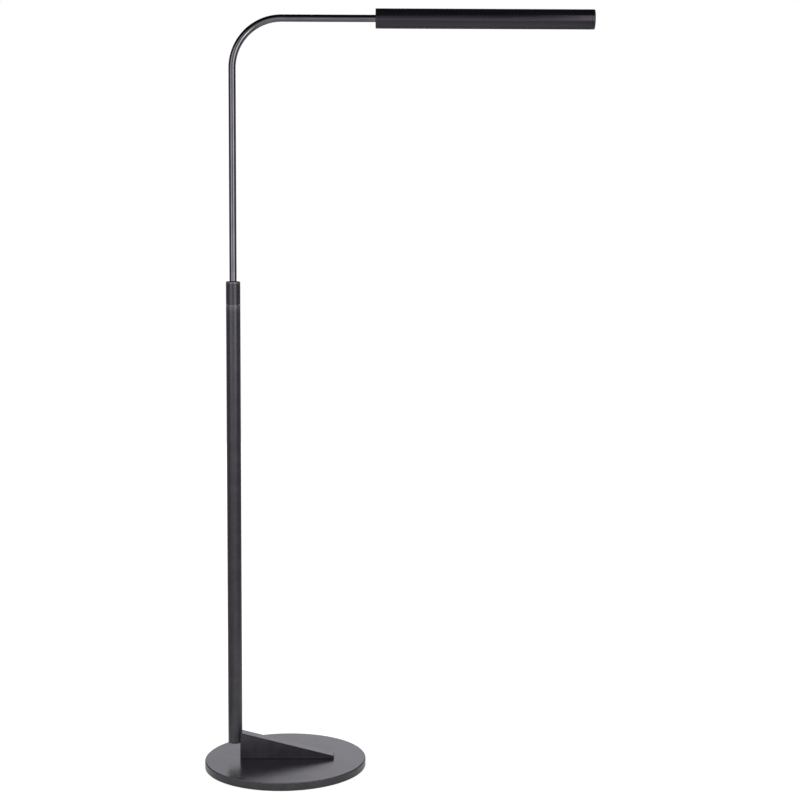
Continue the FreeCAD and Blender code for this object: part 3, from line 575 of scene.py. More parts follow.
@dataclass(frozen=True)
class SatinLacquer(Finish):
    """Dark satin lacquer, sprayed on steel and baked.

    It gives nearly black faces that mirror softly at a low angle, with a faint orange peel. Real peel is
    finer than the render shows, so its cells are drawn about a pixel wide.
    """

    working: Working = Working.ROLLED
    colour: str = "#2a272d"
    thin_colour: str = "#322f35"
    thin_range: Pair = (0.35, 0.7)
    # Lighter, slightly metallic band between two heights: partly rubbed wear, partly painted highlight.
    rub_sheen_colour: str = "#5d5a60"
    # Painted shade laid over everything above the band's end.
    top_shade_colour: str = "#0f0e11"
    rub_sheen_metal: float = 0.3
    roughness: float = 0.25
    roughness_swing: Pair = (0.02, 0.02)
    peel: float = 1.7
    peel_depth: float = 0.0025
    cloud: float = 18.0
    rub_sheen_from: float = 0.0
    rub_sheen_to: float = 0.0
    rub_sheen_end: float = 10000.0
    rub_sheen_fade: float = 0.4
    rub_sheen_range: Pair = (0.3, 0.6)
    rub_sheen_least: float = 0.6
    # Painted highlight along a rim, strongest towards the front, broken up like worn lacquer.
    rim_radius: float = 0.0
    rim_height: float = 0.0
    rim_fade: float = 0.3
    rim_front: Pair = (-114.0, -60.0)
    rim_behind: float = 0.1
    rim_range: Pair = (0.25, 0.55)
    rim_least: float = 0.5

    def front_rim_highlight(self, recipe: Recipe, marks: Socket) -> Socket:
        """Find where the rim gets its painted highlight: outside its radius, above its height and towards
        the front.

        Args:
            recipe: The recipe that asks.
            marks: The pattern that breaks the highlight up like worn lacquer.

        Returns:
            How much painted highlight shows there.
        """
        parts = recipe.add("SeparateXYZ", {}, {0: recipe.place})
        radius = recipe.from_axis((0.0, 0.0, 0.0), (0.0, 0.0, 1.0))[1]
        near, far = self.rim_front
        return recipe.share(
            Step(radius, self.rim_radius * MM, (self.rim_radius + self.rim_fade) * MM),
            Step(parts[2], self.rim_height * MM, (self.rim_height + self.rim_fade) * MM),
            Step(parts[1], near * MM, far * MM, 1.0, self.rim_behind),
            Step(marks, *self.rim_range, self.rim_least, 1.0),
        )

    def mix(self, recipe: Recipe) -> None:
        """Lay a cloudy dark film over the metal's marks, lighter in a band of rubbed wear and painted
        highlight, with painted shade above that band and a painted highlight on the front of a rim.

        Args:
            recipe: The empty recipe.
        """
        cloud = recipe.grain(self.cloud, detail=3.0)
        marks = recipe.grain(self.working.value, detail=1.0)
        peel = recipe.grain(self.peel, detail=1.0)
        coats = [(Step(cloud, *self.thin_range), self.thin_colour)]
        metal = 0.0
        # Band between two heights, lighter and a little metallic: partly rubbed wear, partly painted
        # highlight.
        if self.rub_sheen_to > 0:
            height = recipe.add("SeparateXYZ", {}, {0: recipe.place})[2]
            end = (self.rub_sheen_end * MM, (self.rub_sheen_end + self.rub_sheen_fade) * MM)
            rub_sheen_band = recipe.share(
                Step(height, self.rub_sheen_from * MM, self.rub_sheen_to * MM),
                Step(height, *end, 1.0, 0.0),
                Step(marks, *self.rub_sheen_range, self.rub_sheen_least, 1.0),
            )
            # Painted shade above the band's end, then the band of wear and painted highlight.
            coats.extend([(Step(height, *end), self.top_shade_colour), (rub_sheen_band, self.rub_sheen_colour)])
            metal = recipe.share(rub_sheen_band, self.rub_sheen_metal)
        # Painted highlight along the front of the rim, broken up like worn lacquer.
        if self.rim_radius > 0:
            coats.append((self.front_rim_highlight(recipe, marks), self.rub_sheen_colour))
        recipe.close({
            "Base Color": recipe.coats(self.colour, *coats), "Metallic": metal, "IOR": 1.5,
            "Roughness": recipe.vary(cloud, self.roughness, self.roughness_swing),
        }, (marks, self.peel_depth / 2), (peel, self.peel_depth))


@dataclass(frozen=True)
class DarkAnodising(Finish):
    """Extruded aluminium, brushed lengthwise and anodised dark.

    It gives a satin skin, a little softer than the lacquer, with faint streaks along the extrusion. The
    streaks are drawn about half a millimetre wide, coarser than real ones, so that they show.
    """

    colour: str = "#0c0b0e"
    light_colour: str = "#161419"
    light_range: Pair = (0.3, 0.75)
    film_tint: Colour = (1.0, 0.88, 1.1, 1.0)
    roughness: float = 0.16
    roughness_swing: Pair = (0.05, 0.05)
    cloud: Triple = (40.0, 9.0, 9.0)
    cloud_least: float = 0.4
    streak_depth: float = 0.001

    def mix(self, recipe: Recipe) -> None:
        """Draw streaks in colour, gloss and relief along the head.

        Args:
            recipe: The empty recipe.
        """
        streaks = recipe.grain(Working.EXTRUDED_ALONG.value, detail=3.0)
        cloud = recipe.grain(self.cloud, detail=2.0)
        patches = Step(cloud, recipe.noise_low, recipe.noise_high, self.cloud_least, 1.0)
        share = recipe.share(Step(streaks, *self.light_range), patches)
        recipe.close({
            "Base Color": recipe.coats(self.colour, (share, self.light_colour)), "IOR": 1.5,
            "Roughness": recipe.vary(streaks, self.roughness, self.roughness_swing),
            "Specular Tint": self.film_tint,
        }, (streaks, self.streak_depth))


@dataclass(frozen=True)
class GunmetalPlating(Finish):
    """Drawn steel tube, plated to a half-bright gunmetal.

    It gives a grey metal whose bright bands follow the tube, broken by hairlines from drawing and sliding.
    The lines follow the piece's own map, drawn a third of a millimetre wide so that they show.
    """

    colour: str = "#706d71"
    dark_colour: str = "#5d5a5e"
    roughness: float = 0.1
    roughness_swing: Pair = (0.02, 0.05)
    line: Triple = (0.35, 160.0, 1.0)
    line_range: Pair = (0.35, 0.65)
    line_least: float = 0.3
    line_depth: float = 0.0004
    cloud: Triple = (6.0, 30.0, 1.0)
    cloud_least: float = 0.2

    def mix(self, recipe: Recipe) -> None:
        """Draw hairlines along the tube and slow clouds in the plating.

        Args:
            recipe: The empty recipe.
        """
        lines = recipe.grain(self.line, detail=2.0, on=recipe.flat)
        cloud = recipe.grain(self.cloud, detail=2.0, on=recipe.flat)
        patches = Step(cloud, recipe.noise_low, recipe.noise_high, self.cloud_least, 1.0)
        share = recipe.share(Step(lines, *self.line_range, self.line_least, 1.0), patches)
        recipe.close({
            "Base Color": recipe.coats(self.colour, (share, self.dark_colour)), "Metallic": 1.0,
            "Roughness": recipe.vary(lines, self.roughness, self.roughness_swing),
        }, (lines, self.line_depth))


@dataclass(frozen=True)
class ZincPlating(Finish):
    """Steel hardware with bright zinc and a blue passivation.

    It gives a cool light grey with small crystal patches of slightly different gloss.
    """

    colour: str = "#b4b8bf"
    blue_colour: str = "#9ea7b8"
    crystal: float = 1.2
    roughness: float = 0.34
    roughness_change: float = 0.06
    cloud: float = 4.0
    cloud_depth: float = 0.006

    def mix(self, recipe: Recipe) -> None:
        """Draw crystal patches in colour and gloss.

        Args:
            recipe: The empty recipe.
        """
        scale = 1 / (self.crystal * MM)
        crystals = recipe.add("TexVoronoi", {}, {"Vector": recipe.place, "Scale": scale})["Color"]
        patch = recipe.add("SeparateXYZ", {}, {0: crystals})[0]
        cloud = recipe.grain(self.cloud)
        low, high = self.roughness - self.roughness_change, self.roughness + self.roughness_change
        recipe.close({
            "Base Color": recipe.coats(self.colour, (recipe.share(patch, cloud), self.blue_colour)),
            "Metallic": 1.0, "Roughness": recipe.share(Step(patch, 0.0, 1.0, low, high)),
        }, (cloud, self.cloud_depth))


@dataclass(frozen=True)
class BlackOxide(Finish):
    """Hardened screws, blackened and oiled.

    It gives a nearly black metal that turns grey where the oxide is thin, with a greasy half gloss.
    """

    colour: str = "#2b2b2e"
    thin_colour: str = "#55555a"
    thin: float = 0.8
    thin_range: Pair = (0.5, 0.75)
    thin_depth: float = 0.006
    smear: float = 2.5
    roughness: float = 0.42
    roughness_swing: Pair = (0.1, 0.08)

    def mix(self, recipe: Recipe) -> None:
        """Draw thin patches in the oxide and smears of oil in its gloss.

        Args:
            recipe: The empty recipe.
        """
        thin = recipe.grain(self.thin, detail=3.0)
        smear = recipe.grain(self.smear)
        recipe.close({
            "Base Color": recipe.coats(self.colour, (Step(thin, *self.thin_range), self.thin_colour)),
            "Metallic": 1.0, "Roughness": recipe.vary(smear, self.roughness, self.roughness_swing),
        }, (thin, self.thin_depth))


@dataclass(frozen=True)
class BluedSpringSteel(Finish):
    """Strip steel, stamped, hardened and let down to a blue grey.

    It gives a dark steel with straw to blue clouds left by the heat.
    """

    blue: str = "#565b68"
    straw: str = "#6e675d"
    temper: float = 5.0
    temper_range: Pair = (0.4, 0.7)
    marks: Triple = (0.3, 3.0, 0.3)
    marks_depth: float = 0.003
    roughness: float = 0.3
    roughness_swing: Pair = (0.05, 0.08)

    def mix(self, recipe: Recipe) -> None:
        """Draw temper clouds and the strip's rolling marks.

        Args:
            recipe: The empty recipe.
        """
        temper = recipe.grain(self.temper, detail=1.0)
        marks = recipe.grain(self.marks)
        recipe.close({
            "Base Color": recipe.coats(self.blue, (Step(temper, *self.temper_range), self.straw)),
            "Metallic": 1.0, "Roughness": recipe.vary(marks, self.roughness, self.roughness_swing),
        }, (marks, self.marks_depth))


@dataclass(frozen=True)
class TurnedBrass(Finish):
    """Free-cutting brass, turned on a lathe and left bare.

    It gives a warm yellow metal with fine rings round its axis and a slight brown tarnish.
    """

    centre: Triple
    axis: Triple
    colour: str = "#c9a55c"
    tarnish: str = "#95713a"
    tarnish_cloud: float = 5.0
    tarnish_range: Pair = (0.45, 0.8)
    tarnish_most: float = 0.8
    ring_pitch: float = 0.22
    ring_depth: float = 0.006
    roughness: float = 0.26
    roughness_swing: Pair = (0.06, 0.06)

    def mix(self, recipe: Recipe) -> None:
        """Draw tool rings in gloss and relief under clouds of tarnish.

        Args:
            recipe: The empty recipe.
        """
        rings = recipe.lathe_lines(self.centre, self.axis, self.ring_pitch)
        cloud = recipe.grain(self.tarnish_cloud, detail=3.0)
        share = recipe.share(Step(cloud, *self.tarnish_range, 0.0, self.tarnish_most))
        recipe.close({
            "Base Color": recipe.coats(self.colour, (share, self.tarnish)), "Metallic": 1.0,
            "Roughness": recipe.vary(rings, self.roughness, self.roughness_swing),
        }, (rings, self.ring_depth))


class NylonShade(Enum):
    """Colours in which the nylon parts are moulded."""

    BLACK = ("#1c1c1d", "#29292a")
    WHITE = ("#e4e3dd", "#d6d3c8")


@dataclass(frozen=True)
class MouldedNylon(Finish):
    """Nylon, moulded in a spark-eroded tool.

    It gives an even, slightly waxy skin with the tool's fine pits.
    """

    shade: NylonShade
    flow: Triple = (8.0, 3.0, 8.0)
    flow_range: Pair = (0.3, 0.75)
    roughness: float = 0.5
    roughness_swing: Pair = (0.08, 0.05)
    pit: float = 0.25
    pit_depth: float = 0.012

    def mix(self, recipe: Recipe) -> None:
        """Draw eroded pits over slow flow marks.

        Args:
            recipe: The empty recipe.
        """
        pits = recipe.grain(self.pit)
        flow = recipe.grain(self.flow)
        body, flowed = self.shade.value
        recipe.close({
            "Base Color": recipe.coats(body, (Step(flow, *self.flow_range), flowed)), "IOR": 1.53,
            "Roughness": recipe.vary(flow, self.roughness, self.roughness_swing),
        }, (pits, self.pit_depth))


@dataclass(frozen=True)
class MouldedRubber(Finish):
    """Black rubber, pressed in a blasted mould.

    It gives a deep matt grey-black with pale dust in its pores.
    """

    colour: str = "#171717"
    dust: str = "#3b3a38"
    dust_range: Pair = (0.4, 0.75)
    dust_patch: float = 22.0
    dust_least: float = 0.1
    dust_most: float = 0.8
    roughness: float = 0.78
    roughness_swing: Pair = (0.08, 0.08)
    pore: float = 0.5
    pore_depth: float = 0.03

    def mix(self, recipe: Recipe) -> None:
        """Draw pores, and dust that gathers in patches.

        Args:
            recipe: The empty recipe.
        """
        pores = recipe.grain(self.pore, detail=3.0)
        patches = recipe.grain(self.dust_patch, detail=4.0)
        gathered = Step(patches, *self.dust_range, self.dust_least, self.dust_most)
        dusty = recipe.share(Step(pores, *self.dust_range), gathered)
        recipe.close({
            "Base Color": recipe.coats(self.colour, (dusty, self.dust)), "IOR": 1.52,
            "Roughness": recipe.vary(patches, self.roughness, self.roughness_swing),
        }, (pores, self.pore_depth))


@dataclass(frozen=True)
class BareExtrusion(Finish):
    """Aluminium as it leaves the extrusion press.

    It gives a light satin metal with die lines along its length.
    """

    colour: str = "#c4c6c9"
    die_line: str = "#a3a6aa"
    line: Triple = (150.0, 0.3, 0.3)
    line_range: Pair = (0.4, 0.7)
    line_depth: float = 0.006
    roughness: float = 0.38
    roughness_swing: Pair = (0.08, 0.1)

    def mix(self, recipe: Recipe) -> None:
        """Draw die lines in colour, gloss and relief.

        Args:
            recipe: The empty recipe.
        """
        lines = recipe.grain(self.line, detail=3.0)
        recipe.close({
            "Base Color": recipe.coats(self.colour, (Step(lines, *self.line_range), self.die_line)),
            "Metallic": 1.0, "Roughness": recipe.vary(lines, self.roughness, self.roughness_swing),
        }, (lines, self.line_depth))


@dataclass(frozen=True)
class SolderMask(Finish):
    """Aluminium-backed circuit board under white solder mask.

    It gives a clean half-gloss white in which two supply tracks show as slightly greyer, raised bands.
    """

    colour: str = "#e9e8e4"
    track_colour: str = "#d2d3d0"
    track_from: float = 3.2
    track_to: float = 6.4
    track_edge: float = 0.12
    track_height: float = 0.05
    skin: float = 0.6
    skin_depth: float = 0.004
    roughness: float = 0.35
    roughness_swing: Pair = (0.05, 0.05)

    def mix(self, recipe: Recipe) -> None:
        """Draw two tracks along the board and the mask's fine skin.

        Args:
            recipe: The empty recipe.
        """
        across = recipe.add("SeparateXYZ", {}, {0: recipe.place})[1]
        side = recipe.add("Math", {"operation": "ABSOLUTE"}, {0: across})[0]
        track = recipe.share(
            Step(side, self.track_from * MM, (self.track_from + self.track_edge) * MM),
            Step(side, self.track_to * MM, (self.track_to + self.track_edge) * MM, 1.0, 0.0),
        )
        skin = recipe.grain(self.skin)
        recipe.close({
            "Base Color": recipe.coats(self.colour, (track, self.track_colour)), "IOR": 1.5,
            "Roughness": recipe.vary(skin, self.roughness, self.roughness_swing),
        }, (track, self.track_height), (skin, self.skin_depth))


@dataclass(frozen=True)
class PhosphorGel(Finish):
    """Yellow phosphor gel cast in a white reflector case.

    It gives a soft yellow window with a fine grain, and a clean white rim round it. The map's distance from
    the window's middle tells gel from case.
    """

    gel: str = "#e6c03c"
    grain_colour: str = "#cfa22a"
    grit: float = 0.12
    grit_range: Pair = (0.4, 0.7)
    grit_depth: float = 0.004
    case: str = "#ecebe6"
    window: float = 1.1
    window_edge: float = 0.05
    gel_roughness: float = 0.22
    case_roughness: float = 0.42

    def mix(self, recipe: Recipe) -> None:
        """Draw grainy gel inside the window and white plastic outside.

        Args:
            recipe: The empty recipe.
        """
        from_middle = recipe.add("SeparateXYZ", {}, {0: recipe.flat})[1]
        outside = recipe.share(Step(from_middle, self.window * MM, (self.window + self.window_edge) * MM))
        grit = recipe.grain(self.grit, detail=1.0)
        grainy = (Step(grit, *self.grit_range), self.grain_colour)
        recipe.close({
            "Base Color": recipe.coats(self.gel, grainy, (outside, self.case)), "IOR": 1.41,
            "Roughness": recipe.share(Step(outside, 0.0, 1.0, self.gel_roughness, self.case_roughness)),
        }, (grit, self.grit_depth))


@dataclass(frozen=True)
class OpalAcrylic(Finish):
    """Opal acrylic strip, extruded with a satin outside.

    It gives a milky white that light sinks into a little, under a fine frost.
    """

    colour: str = "#e6e5df"
    shade: str = "#dcdad2"
    wave: Triple = (45.0, 3.0, 3.0)
    frost: float = 0.4
    frost_depth: float = 0.005
    roughness: float = 0.36
    roughness_swing: Pair = (0.05, 0.05)
    scatter: float = 0.35
    scatter_reach: float = 0.002
    scatter_colour: Triple = (1.0, 1.0, 0.95)

    def mix(self, recipe: Recipe) -> None:
        """Draw frost and faint extrusion waves over a scattering body.

        Args:
            recipe: The empty recipe.
        """
        frost = recipe.grain(self.frost)
        waves = recipe.grain(self.wave, detail=1.0)
        share = recipe.vary(waves, 0.5, (0.5, 0.5))
        recipe.close({
            "Base Color": recipe.coats(self.colour, (share, self.shade)), "IOR": 1.49,
            "Roughness": recipe.vary(frost, self.roughness, self.roughness_swing),
            "Subsurface Weight": self.scatter, "Subsurface Scale": self.scatter_reach,
            "Subsurface Radius": self.scatter_colour,
        }, (frost, self.frost_depth))


@dataclass(frozen=True)
class ButtonPlastic(Finish):
    """Grey ABS button with a fine moulded texture, polished a little by fingers.

    It gives a soft grey whose dish is glossier than its sides.
    """

    centre: Triple
    colour: str = "#4c4c4f"
    worn: str = "#5b5b5e"
    worn_to: float = 0.6
    rim: float = 2.4
    texture: float = 0.18
    texture_depth: float = 0.012
    roughness: float = 0.52
    worn_roughness: float = 0.34

    def mix(self, recipe: Recipe) -> None:
        """Draw a fine texture, smoother and lighter towards the middle of the dish.

        Args:
            recipe: The empty recipe.
        """
        radius = recipe.from_axis(self.centre, (0.0, 0.0, 1.0))[1]
        touched = recipe.share(Step(radius, self.worn_to * MM, self.rim * MM, 1.0, 0.0))
        texture = recipe.grain(self.texture)
        recipe.close({
            "Base Color": recipe.coats(self.colour, (recipe.share(touched, texture), self.worn)),
            "IOR": 1.53,
            "Roughness": recipe.share(Step(touched, 0.0, 1.0, self.roughness, self.worn_roughness)),
        }, (texture, self.texture_depth))


# Pieces

def dress(finish: Finish, *nodes: str) -> list[bpy.types.Object]:
    """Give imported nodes, whose shape is right, their finish.

    Args:
        finish: The finish they share.
        nodes: Their names.

    Returns:
        Their objects.
    """
    dressed = []
    for name in nodes:
        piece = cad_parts[name]
        piece.data.materials.clear()
        piece.data.materials.append(material(finish))
        dressed.append(piece)
    return dressed


@dataclass(frozen=True)
class Place:
    """Where a new piece belongs: its name, body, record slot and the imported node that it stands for."""

    name: str
    body: str
    slot: str
    node: str

    def make(self, sheet: Sheet, finish: Finish, crease: float = 30.0) -> bpy.types.Object:
        """Make the piece from its surface.

        Args:
            sheet: The surface.
            finish: What it wears.
            crease: Degrees past which an edge stays sharp.

        Returns:
            The piece, on its body and in the node's stead.
        """
        piece = bpy.data.objects.new(self.name, sheet.mesh(self.name, crease))
        piece.data.materials.append(material(finish))
        bpy.context.scene.collection.objects.link(piece)
        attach(piece, self.body)
        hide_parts(self.node)
        return piece


@dataclass(frozen=True)
class Limits:
    """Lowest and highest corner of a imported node, in millimetres."""

    low: Triple
    high: Triple

    @classmethod
    def of(cls, node: str) -> "Limits":
        """Read a node's corners from the frame."""
        low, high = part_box(node)
        return cls(tuple(value / MM for value in low), tuple(value / MM for value in high))

    def middle(self, axis: int) -> float:
        """Halfway between the corners along an axis."""
        return (self.low[axis] + self.high[axis]) / 2


@dataclass(frozen=True)
class KeyScrew:
    """Flat-headed screw with a hexagon socket and a thread on its shank."""

    radius: float
    head_radius: float
    key: float
    key_depth: float
    pitch: float
    columns: int
    thread_share: float = 0.55
    edges_per_pitch: float = 3.0
    rows_per_pitch: int = 6

    def sheet(self, line: StraightLine, face: float, tip: float) -> Sheet:
        """Draw the screw from the bottom of its socket, over the head and down to the tip.

        Args:
            line: The centre line, pointing into the work.
            face: Distance of the head's face along it.
            tip: Distance of the tip.

        Returns:
            The screw's surface.
        """
        socket = HexSocket(self.key)
        neck = face + self.head_radius - self.radius
        edge = self.pitch / self.edges_per_pitch
        outline = rounded([
            (0.0, face + self.key_depth, 0.0),
            (socket.corner, face + self.key_depth, 0.0),
            (socket.corner, face, 0.0),
            (socket.corner + edge / 2, face, 0.0),
            (self.head_radius, face, edge),
            (self.radius, neck, edge),
            (self.radius, tip - edge, 0.0),
            (self.radius - edge, tip, 0.0),
            (0.0, tip, 0.0),
        ])
        thread_start = neck + self.pitch
        outline = finer(outline, thread_start, tip, self.pitch / self.rows_per_pitch)
        thread = Thread(self.pitch, self.pitch * self.thread_share, thread_start, tip, self.radius)
        return turned(line, outline, self.columns, [socket, thread])


@dataclass
class Base:
    """Round plate on its pad, the wedge and the screws that hold it."""

    plate_radius: float = Limits.of("base_plate").high[0]
    plate_top: float = Limits.of("base_plate").high[2]
    pad_radius: float = Limits.of("base_pad").high[0]
    pad_top: float = Limits.of("base_pad").high[2]
    pad_edge: float = 0.6
    groove_radii: tuple[float, ...] = (30.0, 62.0, 94.0)
    groove_half: float = 1.5
    groove_depth: float = 0.7
    groove_round: float = 0.3
    screw: KeyScrew = KeyScrew(radius=3.0, head_radius=5.9, key=4.0, key_depth=2.4, pitch=1.0, columns=48)
    screw_places: Triple = (-52.0, -16.0, 20.0)
    screw_face: float = Limits.of("base_screws").low[2]
    screw_tip: float = Limits.of("base_screws").high[2]
    stud_radius: float = 3.0
    stud_round: float = 0.5
    stud_thread_from: float = 10.0
    stud_pitch: float = 1.0
    stud_thread_depth: float = 0.5
    stud_thread_step: float = 0.15
    # Width of the painted highlight along the plate's front rim.
    rim_sheen_width: float = 1.3

    def pad(self) -> bpy.types.Object:
        """Make the rubber disc, with a rounded rim and three moulded grooves underneath.

        Returns:
            The disc.
        """
        corners = [(0.0, 0.0, 0.0)]
        for radius in self.groove_radii:
            inner, outer = radius - self.groove_half, radius + self.groove_half
            slope, depth, arc = self.groove_depth / 2, self.groove_depth, self.groove_round
            corners.extend([(inner, 0.0, arc), (inner + slope, depth, arc)])
            corners.extend([(outer - slope, depth, arc), (outer, 0.0, arc)])
        corners.append((self.pad_radius, 0.0, self.pad_edge))
        corners.append((self.pad_radius, self.pad_top, self.pad_edge / 2))
        corners.append((0.0, self.pad_top, 0.0))
        sheet = turned(StraightLine((0.0, 0.0, 0.0)), rounded(corners), columns=144)
        return Place("rubber_pad", "root", "black_rubber", "base_pad").make(sheet, MouldedRubber())

    def screws(self) -> bpy.types.Object:
        """Make three flat-headed screws, driven up through the plate.

        Returns:
            The screws as one piece.
        """
        lines = [StraightLine((x, 0.0, 0.0)) for x in self.screw_places]
        sheets = [self.screw.sheet(line, self.screw_face, self.screw_tip) for line in lines]
        place = Place("threaded_base_screws", "root", "zinc_plated_steel", "base_screws")
        return place.make(Sheet.together(sheets), ZincPlating())

    def stud(self) -> bpy.types.Object:
        """Make the level stud, plain in the pole's foot and threaded in the wedge.

        Returns:
            The stud.
        """
        box = Limits.of("wedge_stud")
        length = box.high[0] - box.low[0]
        line = StraightLine((box.low[0], 0.0, box.middle(2)), (1.0, 0.0, 0.0), (0.0, 1.0, 0.0))
        radius, arc = self.stud_radius, self.stud_round
        outline = rounded([(0.0, 0.0, 0.0), (radius, 0.0, arc), (radius, length, arc), (0.0, length, 0.0)])
        outline = finer(outline, self.stud_thread_from, length, self.stud_thread_step)
        thread = Thread(self.stud_pitch, self.stud_thread_depth, self.stud_thread_from, length, radius)
        place = Place("threaded_stud", "root", "zinc_plated_steel", "wedge_stud")
        return place.make(turned(line, outline, columns=48, reliefs=[thread]), ZincPlating())

    def build(self) -> list[bpy.types.Object]:
        """Make and dress every piece of the base.

        Returns:
            The pieces.
        """
        # The plate's rim carries a painted highlight towards the front.
        worn = self.rim_sheen_width
        rim = SatinLacquer(rim_radius=self.plate_radius - worn, rim_height=self.plate_top - worn)
        kept = [*dress(rim, "base_plate"), *dress(SatinLacquer(), "wedge_bracket")]
        return [*kept, self.pad(), self.screws(), self.stud()]


@dataclass
class Pole:
    """Lower pole with its foot plug, gland, set screw, nipple and collet."""

    x: float = Limits.of("lower_pole").middle(0)
    foot: float = Limits.of("lower_pole").low[2]
    top: float = Limits.of("lower_pole").high[2]
    # Length of the band below the top that is partly rubbed wear and partly painted highlight.
    rub_sheen_band: float = 13.0
    bushing_x: float = Limits.of("cord_bushing").middle(0)
    bushing_low: float = Limits.of("cord_bushing").low[2]
    bushing_high: float = Limits.of("cord_bushing").high[2]
    nipple_low: float = Limits.of("pole_nipple").low[2]
    nipple_high: float = Limits.of("pole_nipple").high[2]
    collet_seat: float = Limits.of("clamp_collet").low[2]
    thread_radius: float = 9.0
    shank_radius: float = 9.48
    lead_passage: float = 5.9
    collet_pocket: float = 7.25
    edge: float = 0.35
    nipple_pitch: float = 1.0
    nipple_thread_depth: float = 0.5
    nipple_thread_step: float = 0.17
    # Darker brass as painted shade, where the nipple shows in the seam gap.
    seam_shade_brass: str = "#655c4c"
    seam_shade_tarnish: str = "#3f392f"
    gland_bore: float = 2.0
    gland_sleeve: float = 2.98
    gland_flange: float = 4.4
    grub_radius: float = 2.0
    grub_key: float = 2.0
    grub_key_depth: float = 1.2
    grub_edge: float = 0.3
    grub_pitch: float = 0.7
    grub_thread_depth: float = 0.35
    grub_thread_step: float = 0.1

    @property
    def brass(self) -> TurnedBrass:
        """Brass turned about the pole's axis."""
        return TurnedBrass((self.x, 0.0, 0.0), (0.0, 0.0, 1.0))

    def bushing(self) -> bpy.types.Object:
        """Make the gland where the cord leaves, with a rolled flange and a flared bore.

        Returns:
            The gland.
        """
        low, high = self.bushing_low, self.bushing_high
        outline = rounded([
            (self.gland_bore, low, 0.55), (self.gland_flange, low, 0.6),
            (self.gland_flange, self.foot, 0.3), (self.gland_sleeve, self.foot, 0.0),
            (self.gland_sleeve, high, 0.25), (self.gland_bore, high, 0.25),
        ], closed=True)
        sheet = turned(StraightLine((self.bushing_x, 0.0, 0.0)), outline, columns=64)
        return Place("cord_gland", "root", "black_rubber", "cord_bushing").make(sheet, MouldedRubber())

    def set_screw(self) -> bpy.types.Object:
        """Make the grub screw that comes up through the plug, with its key socket underneath.

        Returns:
            The screw.
        """
        box = Limits.of("stud_set_screw")
        low, high = box.low[2], box.high[2]
        socket = HexSocket(self.grub_key)
        floor = low + self.grub_key_depth
        radius, edge = self.grub_radius, self.grub_edge
        outline = rounded([
            (0.0, floor, 0.0), (socket.corner, floor, 0.0), (socket.corner, low, 0.0),
            (radius - edge, low, 0.0), (radius, low + edge, 0.0), (radius, high - edge, 0.0),
            (radius - edge, high, 0.0), (0.0, high, 0.0),
        ])
        outline = finer(outline, low, high, self.grub_thread_step)
        thread = Thread(self.grub_pitch, self.grub_thread_depth, low, high, radius)
        line = StraightLine((box.middle(0), 0.0, 0.0))
        sheet = turned(line, outline, columns=36, reliefs=[socket, thread])
        place = Place("threaded_set_screw", "root", "black_oxide_steel", "stud_set_screw")
        return place.make(sheet, BlackOxide())

    def nipple(self) -> bpy.types.Object:
        """Make the brass insert with the thread that the collar turns on.

        Returns:
            The insert, its brass darkened as painted shade for the seam gap.
        """
        outline = rounded([
            (self.lead_passage, self.nipple_low, 0.3), (self.shank_radius, self.nipple_low, self.edge),
            (self.shank_radius, self.top, 0.0), (self.thread_radius, self.top, 0.0),
            (self.thread_radius, self.nipple_high - self.edge, 0.0),
            (self.thread_radius - self.edge, self.nipple_high, 0.0),
            (self.collet_pocket, self.nipple_high, 0.25), (self.collet_pocket, self.collet_seat, 0.0),
            (self.lead_passage, self.collet_seat, 0.0),
        ], closed=True)
        start = self.top + self.nipple_pitch
        outline = finer(outline, start, self.nipple_high, self.nipple_thread_step)
        depth = self.nipple_thread_depth
        thread = Thread(self.nipple_pitch, depth, start, self.nipple_high, self.thread_radius)
        sheet = turned(StraightLine((self.x, 0.0, 0.0)), outline, columns=72, reliefs=[thread])
        place = Place("threaded_nipple", "root", "turned_brass", "pole_nipple")
        # Brass darkened as painted shade for the seam gap under the collar.
        return place.make(sheet, replace(self.brass, colour=self.seam_shade_brass, tarnish=self.seam_shade_tarnish))

    def build(self) -> list[bpy.types.Object]:
        """Make and dress every piece of the pole.

        Returns:
            The pieces.
        """
        # Band below the pole's top: partly rubbed wear, partly painted highlight.
        lacquer = SatinLacquer(Working.DRAWN_UP, rub_sheen_from=self.top - self.rub_sheen_band, rub_sheen_to=self.top)
        kept = [
            *dress(lacquer, "lower_pole"),
            *dress(self.brass, "pole_foot_plug"),
            *dress(MouldedNylon(NylonShade.BLACK), "clamp_collet"),
        ]
        return [*kept, self.bushing(), self.set_screw(), self.nipple()]


